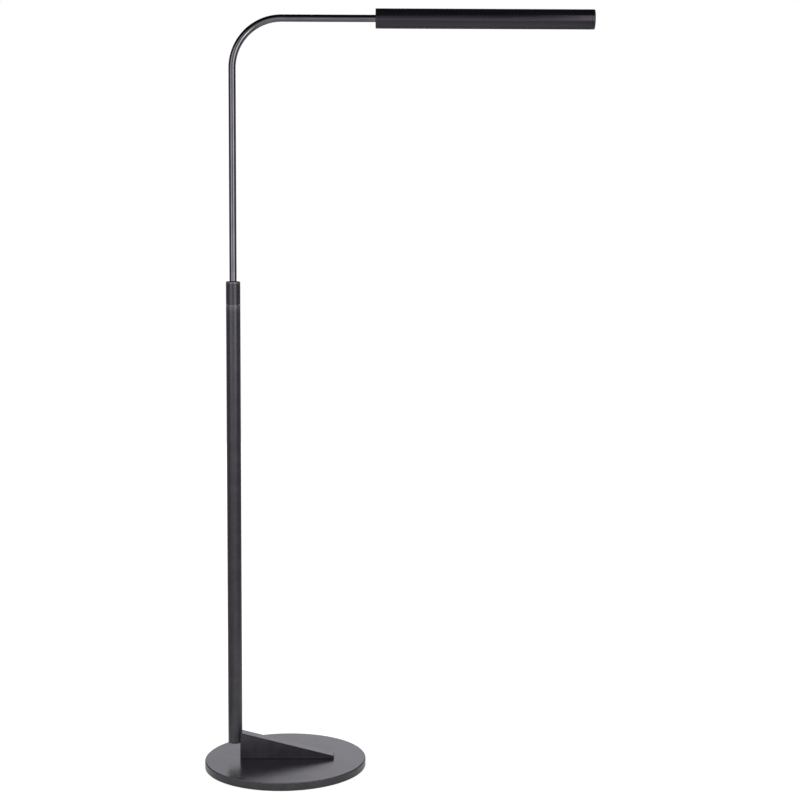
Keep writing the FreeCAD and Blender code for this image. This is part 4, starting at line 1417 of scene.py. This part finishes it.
@dataclass
class Collar:
    """Locking collar and the wiper ring in its top."""

    x: float = Limits.of("lock_collar").middle(0)
    low: float = Limits.of("lock_collar").low[2]
    high: float = Limits.of("lock_collar").high[2]
    radius: float = 11.0
    top_round: float = 2.0
    seam_round: float = 0.15
    thread_radius: float = 9.05
    thread_end: float = 735.4
    cone_wide: float = 8.7
    cone_narrow: float = 6.93
    cone_end: float = 745.8
    passage: float = 5.9
    seat: float = Limits.of("wiper_ring").low[2]
    seat_radius: float = 8.5
    ring_high: float = Limits.of("wiper_ring").high[2]
    ring_radius: float = 8.48
    ring_bore: float = 5.7
    ring_lip: float = 0.7
    ring_dish: float = 0.45
    pitch: float = 1.0
    thread_depth: float = 0.5
    thread_step: float = 0.17
    # Painted highlight line below the rounded top edge.
    lip_highlight_colour: str = "#7a777d"
    lip_highlight_from: float = 1.8
    lip_highlight_full: float = 0.9
    lip_highlight_end: float = 0.2

    def sleeve(self) -> bpy.types.Object:
        """Make the sleeve, with a rounded top edge, a fine seam edge and its thread and cone inside.

        Returns:
            The sleeve, with a painted highlight line below its top edge and painted shade on the edge
            itself.
        """
        outline = rounded([
            (self.thread_radius, self.low, 0.0), (self.radius, self.low, self.seam_round),
            (self.radius, self.high, self.top_round), (self.seat_radius, self.high, 0.3),
            (self.seat_radius, self.seat, 0.0), (self.passage, self.seat, 0.2),
            (self.passage, self.cone_end, 0.0), (self.cone_narrow, self.cone_end, 0.0),
            (self.cone_wide, self.thread_end, 0.0), (self.thread_radius, self.thread_end, 0.0),
        ], closed=True)
        outline = finer(outline, self.low, self.thread_end, self.thread_step)
        depth = self.thread_depth
        thread = Thread(self.pitch, depth, self.low, self.thread_end, self.thread_radius, inside=True)
        sheet = turned(StraightLine((self.x, 0.0, 0.0)), outline, columns=96, reliefs=[thread])
        place = Place("collar_sleeve", "collar", "dark_lacquered_steel", "lock_collar")
        edge = self.high - self.top_round
        # Painted highlight line below the rounded top edge, and painted shade on the edge above it.
        lip = SatinLacquer(
            Working.DRAWN_UP, rub_sheen_colour=self.lip_highlight_colour, rub_sheen_from=edge - self.lip_highlight_from,
            rub_sheen_to=edge - self.lip_highlight_full, rub_sheen_end=edge - self.lip_highlight_end,
        )
        return place.make(sheet, lip)

    def wiper(self) -> bpy.types.Object:
        """Make the soft ring, with a raised lip that rests beside the tube.

        Returns:
            The ring.
        """
        bore, lip, dished = self.ring_bore, self.ring_lip, self.ring_high - self.ring_dish
        outline = rounded([
            (bore, self.seat, 0.2), (self.ring_radius, self.seat, 0.2), (self.ring_radius, dished, 0.2),
            (bore + 2 * lip, dished, 0.3), (bore + lip, self.ring_high, 0.15), (bore, self.ring_high, 0.15),
        ], closed=True)
        sheet = turned(StraightLine((self.x, 0.0, 0.0)), outline, columns=96)
        return Place("lipped_wiper", "collar", "black_rubber", "wiper_ring").make(sheet, MouldedRubber())

    def build(self) -> list[bpy.types.Object]:
        """Make both pieces of the collar."""
        return [self.sleeve(), self.wiper()]


@dataclass
class Slider:
    """Guide bush that slides in the pole."""

    def build(self) -> list[bpy.types.Object]:
        """Dress the bush."""
        return dress(MouldedNylon(NylonShade.BLACK), "guide_bush")


@dataclass
class Arm:
    """Bent tube with the stop collar on its foot and the friction swivel on its end."""

    pole_x: float = Limits.of("lower_pole").middle(0)
    foot: float = Limits.of("upper_tube").low[2]
    head_z: float = Limits.of("inner_end_cap").middle(2)
    end_x: float = Limits.of("upper_tube").high[0]
    bend: float = 75.0
    radius: float = 5.5
    wall: float = 1.0
    edge: float = 0.2
    rows_upright: int = 7
    rows_bend: int = 65
    rows_level: int = 4
    spindle_start: float = Limits.of("swivel_spindle").low[0]
    spindle_end: float = Limits.of("swivel_spindle").high[0]
    spindle_bore: float = 2.5
    shank_radius: float = 4.48
    journal_radius: float = 4.0
    flats_from: float = 148.55
    flats_half: float = 3.48
    flats_step: float = 0.01
    spindle_edge: float = 0.35
    spindle_pitch: float = 0.75
    spindle_thread_depth: float = 0.35
    spindle_thread_step: float = 0.12

    @property
    def rise(self) -> float:
        """Length of the upright stretch."""
        return self.head_z - self.bend - self.foot

    @property
    def brass(self) -> TurnedBrass:
        """Brass turned about the head's axis."""
        return TurnedBrass((0.0, 0.0, self.head_z), (1.0, 0.0, 0.0))

    def tube(self) -> bpy.types.Object:
        """Make the tube with its quarter bend, its wall followed up the outside and back down the bore.

        Returns:
            The tube.
        """
        level = self.end_x - (self.pole_x + self.bend)
        quarter = self.bend * math.pi / 2
        length = self.rise + quarter + level
        bent = self.rise + quarter * np.linspace(0.0, 1.0, self.rows_bend)
        straight = np.linspace(self.edge, self.rise, self.rows_upright)[:-1]
        onward = np.linspace(self.rise + quarter, length - self.edge, self.rows_level)[1:]
        stations = np.concatenate([straight, bent, onward])
        bore = self.radius - self.wall
        outside = np.stack([np.full_like(stations, self.radius), stations], axis=1)
        inside = np.stack([np.full_like(stations, bore), stations], axis=1)[::-1]
        far_end = np.array([(self.radius - self.edge, length), (bore + self.edge, length)])
        near_end = np.array([(bore + self.edge, 0.0), (self.radius - self.edge, 0.0)])
        outline = np.concatenate([outside, far_end, inside, near_end, outside[:1]])
        line = BentLine((self.pole_x, 0.0, self.foot), self.rise, self.bend)
        place = Place("bent_tube", "arm", "gunmetal_plated_steel", "upper_tube")
        return place.make(turned(line, outline, columns=72), GunmetalPlating())

    def flats(self, radius: np.ndarray, distance: np.ndarray, angle: np.ndarray) -> np.ndarray:
        """Cut the spindle's two flats, where the radius is at most half the width / |cos angle|.

        Args:
            radius: Radii before the cut.
            distance: Distances along the spindle.
            angle: Radians from +Y.

        Returns:
            Radii after the cut.
        """
        flat = self.flats_half / np.maximum(np.abs(np.cos(angle)), WELD)
        beyond = distance >= self.flats_from - self.spindle_start
        outside = radius > self.spindle_bore + self.wall / 4
        return np.where(beyond & outside, np.minimum(radius, flat), radius)

    def spindle(self) -> bpy.types.Object:
        """Make the hollow spindle with a shank in the tube, a bearing, two flats and the nut's thread.

        Returns:
            The spindle.
        """
        shoulder = self.end_x - self.spindle_start
        length = self.spindle_end - self.spindle_start
        flat_start = self.flats_from - self.spindle_start
        thread_start = Limits.of("disc_spring").low[0] - self.spindle_start
        bore, edge, journal = self.spindle_bore, self.spindle_edge, self.journal_radius
        outline = rounded([
            (bore, 0.0, 0.2), (self.shank_radius, 0.0, 0.2), (self.shank_radius, shoulder, 0.0),
            (journal, shoulder, 0.0), (journal, flat_start - self.flats_step, 0.0),
            (journal, flat_start, 0.0), (journal, length - edge, 0.0), (journal - edge, length, 0.0),
            (bore, length, 0.0),
        ], closed=True)
        outline = finer(outline, thread_start, length, self.spindle_thread_step)
        thread = Thread(self.spindle_pitch, self.spindle_thread_depth, thread_start, length, journal)
        line = StraightLine((self.spindle_start, 0.0, self.head_z), (1.0, 0.0, 0.0), (0.0, 1.0, 0.0))
        place = Place("threaded_spindle", "arm", "turned_brass", "swivel_spindle")
        return place.make(turned(line, outline, columns=72, reliefs=[thread, self.flats]), self.brass)

    def build(self) -> list[bpy.types.Object]:
        """Make and dress every piece of the arm.

        Returns:
            The pieces.
        """
        pole_brass = TurnedBrass((self.pole_x, 0.0, 0.0), (0.0, 0.0, 1.0))
        kept = [
            *dress(pole_brass, "stop_collar"),
            *dress(ZincPlating(), "stop_collar_pin", "stop_washer"),
            *dress(BluedSpringSteel(), "retaining_ring", "disc_spring"),
            *dress(MouldedNylon(NylonShade.BLACK), "friction_washer"),
            *dress(self.brass, "spindle_nut"),
        ]
        return [self.tube(), self.spindle(), *kept]


@dataclass
class Head:
    """Round head: shell, caps, light engine, opal strip and the swivel's fixed half."""

    axis_z: float = Limits.of("inner_end_cap").middle(2)
    start: float = Limits.of("inner_end_cap").low[0]
    end: float = Limits.of("outer_end_cap").high[0]
    port_circle: float = 11.9
    port_angles: Pair = (50.0, 130.0)
    screw: KeyScrew = KeyScrew(radius=1.1, head_radius=2.2, key=1.5, key_depth=0.9, pitch=0.45, columns=36)
    screw_reach: float = 17.0
    screw_sink: float = 0.05
    first_chip: float = Limits.of("led_chips").low[0]
    chip_count: int = 23
    chip_pitch: float = 12.0
    chip_half: float = 1.5
    chip_face: float = Limits.of("led_chips").low[2]
    chip_back: float = Limits.of("led_chips").high[2]
    case_power: float = 14.0
    gel_radius: float = 1.1
    gel_sink: float = 0.12
    gel_profile: tuple[Pair, ...] = ((0.0, 1.0), (0.5, 1.1), (0.85, 1.5), (1.0, 1.6))
    case_window: float = 1.08
    case_round_to: float = 1.1

    def cap_screws(self) -> bpy.types.Object:
        """Make four small flat-headed screws, two in each cap.

        Returns:
            The screws as one piece.
        """
        sheets = []
        for face, inward in ((self.start, 1.0), (self.end, -1.0)):
            for angle in self.port_angles:
                turn = math.radians(angle)
                y = self.port_circle * math.cos(turn)
                z = self.axis_z + self.port_circle * math.sin(turn)
                line = StraightLine((face, y, z), (inward, 0.0, 0.0), (0.0, 1.0, 0.0))
                sheets.append(self.screw.sheet(line, self.screw_sink, self.screw_reach))
        place = Place("threaded_cap_screws", "head", "black_oxide_steel", "end_cap_screws")
        return place.make(Sheet.together(sheets), BlackOxide())

    def squared(self, radius: np.ndarray, distance: np.ndarray, angle: np.ndarray) -> np.ndarray:
        """Draw the chip's case out to a rounded square outside its round window.

        The edge lies at radius / (|cos a|^n + |sin a|^n)^(1/n), with n large enough for tight corners.

        Args:
            radius: Radii before the change.
            distance: Distances along the chip's axis, which don't matter here.
            angle: Radians about it.

        Returns:
            Radii after the change.
        """
        power = self.case_power
        square = (np.abs(np.cos(angle)) ** power + np.abs(np.sin(angle)) ** power) ** (-1 / power)
        return np.where(radius > self.gel_radius * self.case_round_to, radius * square, radius)

    def chips(self) -> bpy.types.Object:
        """Make the row of light-emitting chips, each a square case round a sunken window of gel.

        Returns:
            The chips as one piece.
        """
        half, gel = self.chip_half, self.gel_radius
        height = self.chip_back - self.chip_face
        bowl = [(gel * out, self.gel_sink * down, 0.0) for out, down in self.gel_profile]
        case = [(gel * self.case_window, 0.0, 0.03), (half, 0.0, 0.08)]
        back = [(half, height, 0.0), (0.0, height, 0.0)]
        outline = rounded([*bowl, *case, *back])
        sheets = []
        for number in range(self.chip_count):
            x = self.first_chip + self.chip_half + number * self.chip_pitch
            line = StraightLine((x, 0.0, self.chip_face))
            sheets.append(turned(line, outline, columns=32, reliefs=[self.squared]))
        place = Place("gel_filled_chips", "head", "phosphor_gel", "led_chips")
        return place.make(Sheet.together(sheets), PhosphorGel())

    def build(self) -> list[bpy.types.Object]:
        """Make and dress every piece of the head.

        Returns:
            The pieces.
        """
        brass = TurnedBrass((0.0, 0.0, self.axis_z), (1.0, 0.0, 0.0))
        kept = [
            *dress(DarkAnodising(), "head_shell", "inner_end_cap", "outer_end_cap"),
            *dress(OpalAcrylic(), "diffuser"),
            *dress(brass, "swivel_bush"),
            *dress(ZincPlating(), "swivel_stop_pins", "board_screws"),
            *dress(BareExtrusion(), "led_carrier"),
            *dress(SolderMask(), "led_board"),
            *dress(MouldedNylon(NylonShade.WHITE), "lead_terminal"),
            *dress(MouldedNylon(NylonShade.BLACK), "dimmer_switch"),
        ]
        return [*kept, self.cap_screws(), self.chips()]


@dataclass
class Button:
    """Push button in the opal strip."""

    x: float = Limits.of("dimmer_button").middle(0)
    face: float = Limits.of("dimmer_button").low[2]
    stem_top: float = Limits.of("dimmer_button").high[2]
    strip_top: float = Limits.of("diffuser").high[2]
    radius: float = 3.0
    edge: float = 0.4
    dish_radius: float = 2.3
    dish_rows: int = 10
    dish_depth: float = 0.3
    flange_radius: float = 4.2
    flange_gap: float = 0.05
    flange_height: float = 1.0
    stem_radius: float = 1.5

    def build(self) -> list[bpy.types.Object]:
        """Make the button: a dish that deepens as 1 - (radius / dish radius)^2, a rim, flange and stem.

        Returns:
            The button alone.
        """
        across = np.linspace(0.0, self.dish_radius, self.dish_rows)
        depth = self.dish_depth * (1 - (across / self.dish_radius) ** 2)
        dish = np.stack([across, self.face + depth], axis=1)
        flange_low = self.strip_top + self.flange_gap
        flange_high = flange_low + self.flange_height
        rest = rounded([
            (self.dish_radius, self.face, 0.0), (self.radius, self.face, self.edge),
            (self.radius, flange_low, 0.0), (self.flange_radius, flange_low, 0.15),
            (self.flange_radius, flange_high, 0.15), (self.stem_radius, flange_high, 0.2),
            (self.stem_radius, self.stem_top, 0.2), (0.0, self.stem_top, 0.0),
        ])
        sheet = turned(StraightLine((self.x, 0.0, 0.0)), np.concatenate([dish, rest[1:]]), columns=72)
        place = Place("dished_button", "button", "grey_button_plastic", "dimmer_button")
        return [place.make(sheet, ButtonPlastic((self.x, 0.0, 0.0)))]


# Studio

@dataclass(frozen=True)
class Panel:
    """Flat upright lamp that faces the object and shows in its gloss only. Sizes are metres."""

    name: str
    turn_degrees: float
    distance: float
    low: float
    high: float
    width: float
    radiance: float

    def lamp(self) -> bpy.types.Object:
        """Make the lamp; its power gives the face the radiance that is asked for.

        Returns:
            The lamp, in the scene.
        """
        height = self.high - self.low
        light = bpy.data.lights.new(self.name, "AREA")
        light.shape = "RECTANGLE"
        light.size, light.size_y = self.width, height
        light.energy = self.radiance * math.pi * self.width * height
        lamp = bpy.data.objects.new(self.name, light)
        turn = math.radians(self.turn_degrees)
        x, y = self.distance * math.sin(turn), -self.distance * math.cos(turn)
        lamp.location = (x, y, (self.low + self.high) / 2)
        lamp.rotation_euler = (math.pi / 2, 0.0, turn)
        lamp.visible_camera = False
        lamp.visible_diffuse = False
        bpy.context.scene.collection.objects.link(lamp)
        return lamp


@dataclass(frozen=True)
class Studio:
    """Camera at the photograph's viewpoint, pale floor and soft light.

    The room is a light tent: white behind and low in front, dim flags left and right, and dark overhead.
    Two upright strip lamps and a low panel beside the camera show in the gloss only, and so does a small
    panel that only the bent tube mirrors. One wide overhead light gives matt surfaces their level. Lengths
    of the room are metres and angles are radians, unless a name says otherwise.
    """

    camera_place: Triple = (160.6, -2258.1, 736.6)
    yaw: float = -0.00734
    pitch_down: float = 0.07212
    roll: float = 0.0031
    focal_pixels: float = 1471.52
    sensor_width: float = 36.0
    sight_end: float = 100.0
    floor_half_width: float = 1.35
    floor_front: float = -1.6
    floor_back: float = 5.0
    floor_colour: str = "#e8e8e6"
    floor_gap_mm: float = 0.05
    floor_glow: float = 0.75
    mirrored_near: float = 0.5
    mirrored_far: float = 0.4
    mirrored_far_range: Pair = (-0.9, -0.5)
    mirrored_behind: float = 0.1
    mirrored_behind_range: Pair = (0.05, 0.5)
    mirrored_middle: float = 0.2
    mirrored_side_range: Pair = (0.38, 0.53)
    contact_shade: float = 0.55
    contact_range: Pair = (0.13, 0.19)
    soft_level: float = 0.3
    soft_share: float = 0.55
    sun_strength: float = 1.6
    sun_spread_degrees: float = 60.0
    sun_tilt_degrees: float = 64.0
    sun_turn_degrees: float = 12.0
    cloth_colour: Colour = (0.985, 0.965, 1.05, 1.0)
    front_level: float = 0.9
    front_fades_degrees: Pair = (-14.0, 40.0)
    back_fades_degrees: Pair = (27.0, 42.0)
    back_right_level: float = 1.2
    back_right_range: Pair = (-0.12, -0.02)
    overhead: float = 0.02
    flag_level: float = 0.36
    flag_near_edge_degrees: Pair = (50.0, 60.0)
    flag_far_edge_degrees: Pair = (156.0, 166.0)
    panels: tuple[Panel, ...] = (
        Panel("strip_left", -34.0, 1.8, 0.5, 1.85, 1.0, 1.45),
        Panel("strip_right", 38.0, 1.8, 0.5, 2.3, 1.1, 2.2),
        Panel("low_front", 0.0, 1.8, 0.3, 0.8, 1.2, 0.45),
    )
    bend_panel: Panel = Panel("bend_light", 25.0, 2.35, 0.02, 0.6, 0.6, 7.0)

    def camera(self) -> bpy.types.Object:
        """Set up the camera from its place, yaw, pitch and roll.

        Returns:
            The camera, made the scene's own.
        """
        ahead_level = np.array([-math.sin(self.yaw), math.cos(self.yaw), 0.0])
        right_level = np.array([math.cos(self.yaw), math.sin(self.yaw), 0.0])
        upright = np.array([0.0, 0.0, 1.0])
        ahead = ahead_level * math.cos(self.pitch_down) - upright * math.sin(self.pitch_down)
        above = ahead_level * math.sin(self.pitch_down) + upright * math.cos(self.pitch_down)
        right = right_level * math.cos(self.roll) + above * math.sin(self.roll)
        top = above * math.cos(self.roll) - right_level * math.sin(self.roll)
        lens = bpy.data.cameras.new("camera")
        lens.sensor_width = self.sensor_width
        lens.lens = self.focal_pixels / IMAGE_SIZE * self.sensor_width
        lens.clip_end = self.sight_end
        camera = bpy.data.objects.new("camera", lens)
        turn = Matrix(np.stack([right, top, -ahead], axis=1).tolist()).to_4x4()
        place = [value * MM for value in self.camera_place]
        camera.matrix_world = Matrix.Translation(place) @ turn
        bpy.context.scene.collection.objects.link(camera)
        bpy.context.scene.camera = camera
        return camera

    def seen_clear(self, recipe: Recipe, path: Outputs) -> Socket:
        """Tell the rays that see the background, straight or through a clear piece, from all others."""
        rays = {0: path["Is Camera Ray"], 1: path["Is Transmission Ray"]}
        return recipe.add("Math", {"operation": "MAXIMUM"}, rays)[0]

    def room(self, recipe: Recipe) -> Socket:
        """Work out how bright the tent is in each direction, as gloss sees it.

        The front is pale low down and fades upwards, and past the flags' near edge it falls to their level.
        The back is white, a little brighter towards the right, starts at the flags' far edge and fades to
        the overhead level. The brighter of the two counts.

        Args:
            recipe: The world's recipe.

        Returns:
            The brightness.
        """
        parts = recipe.add("SeparateXYZ", {}, {0: recipe.direction})
        height = parts[2]
        towards_camera = recipe.share(parts[1], -1.0)
        turn = recipe.add("Math", {"operation": "ARCTAN2"}, {0: parts[0], 1: towards_camera})[0]
        aside = recipe.add("Math", {"operation": "ABSOLUTE"}, {0: turn})[0]
        fades = np.sin(np.radians([self.front_fades_degrees, self.back_fades_degrees])).tolist()
        edges = np.radians([self.flag_near_edge_degrees, self.flag_far_edge_degrees]).tolist()
        front = recipe.share(
            Step(height, *fades[0], self.front_level, self.overhead),
            Step(aside, *edges[0], 1.0, self.flag_level),
        )
        low, high = self.back_right_range
        rightward = {0: parts[0], 1: low, 2: high, 3: 1.0, 4: self.back_right_level}
        back = recipe.share(
            Step(height, *fades[1], 1.0, self.overhead),
            recipe.add("MapRange", {}, rightward)[0],
            Step(aside, *edges[1]),
        )
        return recipe.add("Math", {"operation": "MAXIMUM"}, {0: front, 1: back})[0]

    def world(self) -> None:
        """Fill the room: white to the camera, the tent to gloss and a softened tent to matt surfaces."""
        world = bpy.data.worlds.new("tent")
        bpy.context.scene.world = world
        world.use_nodes = True
        recipe = Recipe(world.node_tree)
        path = recipe.add("LightPath", {}, {})
        room = self.room(recipe)
        softened = {0: room, 1: self.soft_share, 2: self.soft_level}
        soft = recipe.add("Math", {"operation": "MULTIPLY_ADD"}, softened)[0]
        levels = {0: path["Is Glossy Ray"], 2: soft, 3: room}
        lit = recipe.add("Mix", {"data_type": "FLOAT"}, levels)[0]
        clear = self.seen_clear(recipe, path)
        strength = recipe.add("Mix", {"data_type": "FLOAT"}, {0: clear, 2: lit, 3: 1.0})[0]
        colours = {0: path["Is Glossy Ray"], 6: WHITE, 7: self.cloth_colour}
        colour = recipe.add("Mix", {"data_type": "RGBA"}, colours)[2]
        light = recipe.add("Background", {}, {"Color": colour, "Strength": strength})[0]
        recipe.add("OutputWorld", {}, {"Surface": light})

    def floor_light(self, recipe: Recipe) -> Socket:
        """Work out the floor's own light: even to the camera, and to gloss brightest before the lamp.

        To gloss it dims far in front, behind the lamp, close round the base and out to both sides.

        Args:
            recipe: The floor's recipe.

        Returns:
            The glow's strength.
        """
        path = recipe.add("LightPath", {}, {})
        parts = recipe.add("SeparateXYZ", {}, {0: recipe.place})
        away = recipe.from_axis((0.0, 0.0, 0.0), (0.0, 0.0, 1.0))[1]
        offset = recipe.add("Math", {"operation": "SUBTRACT"}, {0: parts[0], 1: self.mirrored_middle})[0]
        aside = recipe.add("Math", {"operation": "ABSOLUTE"}, {0: offset})[0]
        mirrored = recipe.share(
            path["Is Glossy Ray"],
            Step(parts[1], *self.mirrored_far_range, self.mirrored_far, self.mirrored_near),
            Step(parts[1], *self.mirrored_behind_range, 1.0, self.mirrored_behind),
            Step(away, *self.contact_range, self.contact_shade, 1.0),
            Step(aside, *self.mirrored_side_range, 1.0, 0.0),
        )
        plain = recipe.share(self.seen_clear(recipe, path), self.floor_glow)
        return recipe.add("Math", {"operation": "ADD"}, {0: mirrored, 1: plain})[0]

    def floor(self) -> bpy.types.Object:
        """Make the pale floor, white where it is lit, with the lamp's shadow and clear from below.

        Returns:
            The floor, staged.
        """
        half, front, back = self.floor_half_width, self.floor_front, self.floor_back
        low = -self.floor_gap_mm * MM
        corners = [(-half, front, low), (half, front, low), (half, back, low), (-half, back, low)]
        mesh = bpy.data.meshes.new("floor")
        mesh.from_pydata(corners, [], [(0, 1, 2, 3)])
        matt = bpy.data.materials.new("matt_pale_floor")
        matt.use_nodes = True
        recipe = Recipe(matt.node_tree)
        underneath = recipe.add("NewGeometry", {}, {})["Backfacing"]
        from_above = recipe.add("Math", {"operation": "SUBTRACT"}, {0: 1.0, 1: underneath})[0]
        recipe.close({
            "Base Color": linear(self.floor_colour), "Roughness": 1.0, "Specular IOR Level": 0.0,
            "Emission Color": WHITE, "Emission Strength": self.floor_light(recipe), "Alpha": from_above,
        })
        mesh.materials.append(matt)
        floor = bpy.data.objects.new("floor", mesh)
        bpy.context.scene.collection.objects.link(floor)
        return floor

    def sun(self) -> bpy.types.Object:
        """Make the wide overhead light for the plain level and the soft shadow, kept out of the gloss.

        Returns:
            The lamp.
        """
        light = bpy.data.lights.new("soft_overhead", "SUN")
        light.energy = self.sun_strength
        light.angle = math.radians(self.sun_spread_degrees)
        lamp = bpy.data.objects.new("soft_overhead", light)
        tilt, turn = math.radians(self.sun_tilt_degrees), math.radians(self.sun_turn_degrees)
        lamp.rotation_euler = (tilt, 0.0, turn)
        lamp.visible_glossy = False
        bpy.context.scene.collection.objects.link(lamp)
        return lamp

    def bend_lamp(self, tube: bpy.types.Object) -> bpy.types.Object:
        """Add the low panel that only the tube mirrors, for the bright streak in its bend.

        Args:
            tube: The bent tube.

        Returns:
            The lamp.
        """
        receivers = bpy.data.collections.new("bend")
        receivers.objects.link(tube)
        lamp = self.bend_panel.lamp()
        lamp.light_linking.receiver_collection = receivers
        return lamp

    def build(self) -> None:
        """Set up camera, room, floor and lamps."""
        bpy.context.scene.view_settings.view_transform = "Standard"
        self.camera()
        self.world()
        self.floor()
        self.sun()
        for panel in self.panels:
            panel.lamp()


def main() -> None:
    """Build the studio and the lamp's sub-assemblies in order."""
    logging.basicConfig(level=logging.INFO, format="%(message)s")
    studio = Studio()
    studio.build()
    for assembly in (Base(), Pole(), Collar(), Slider(), Arm(), Head(), Button()):
        for piece in assembly.build():
            count = len(piece.data.polygons)
            LOG.info("%s: %s, %d faces", type(assembly).__name__.lower(), piece.name, count)
    studio.bend_lamp(bpy.data.objects["bent_tube"])


if __name__ == "__main__":
    main()
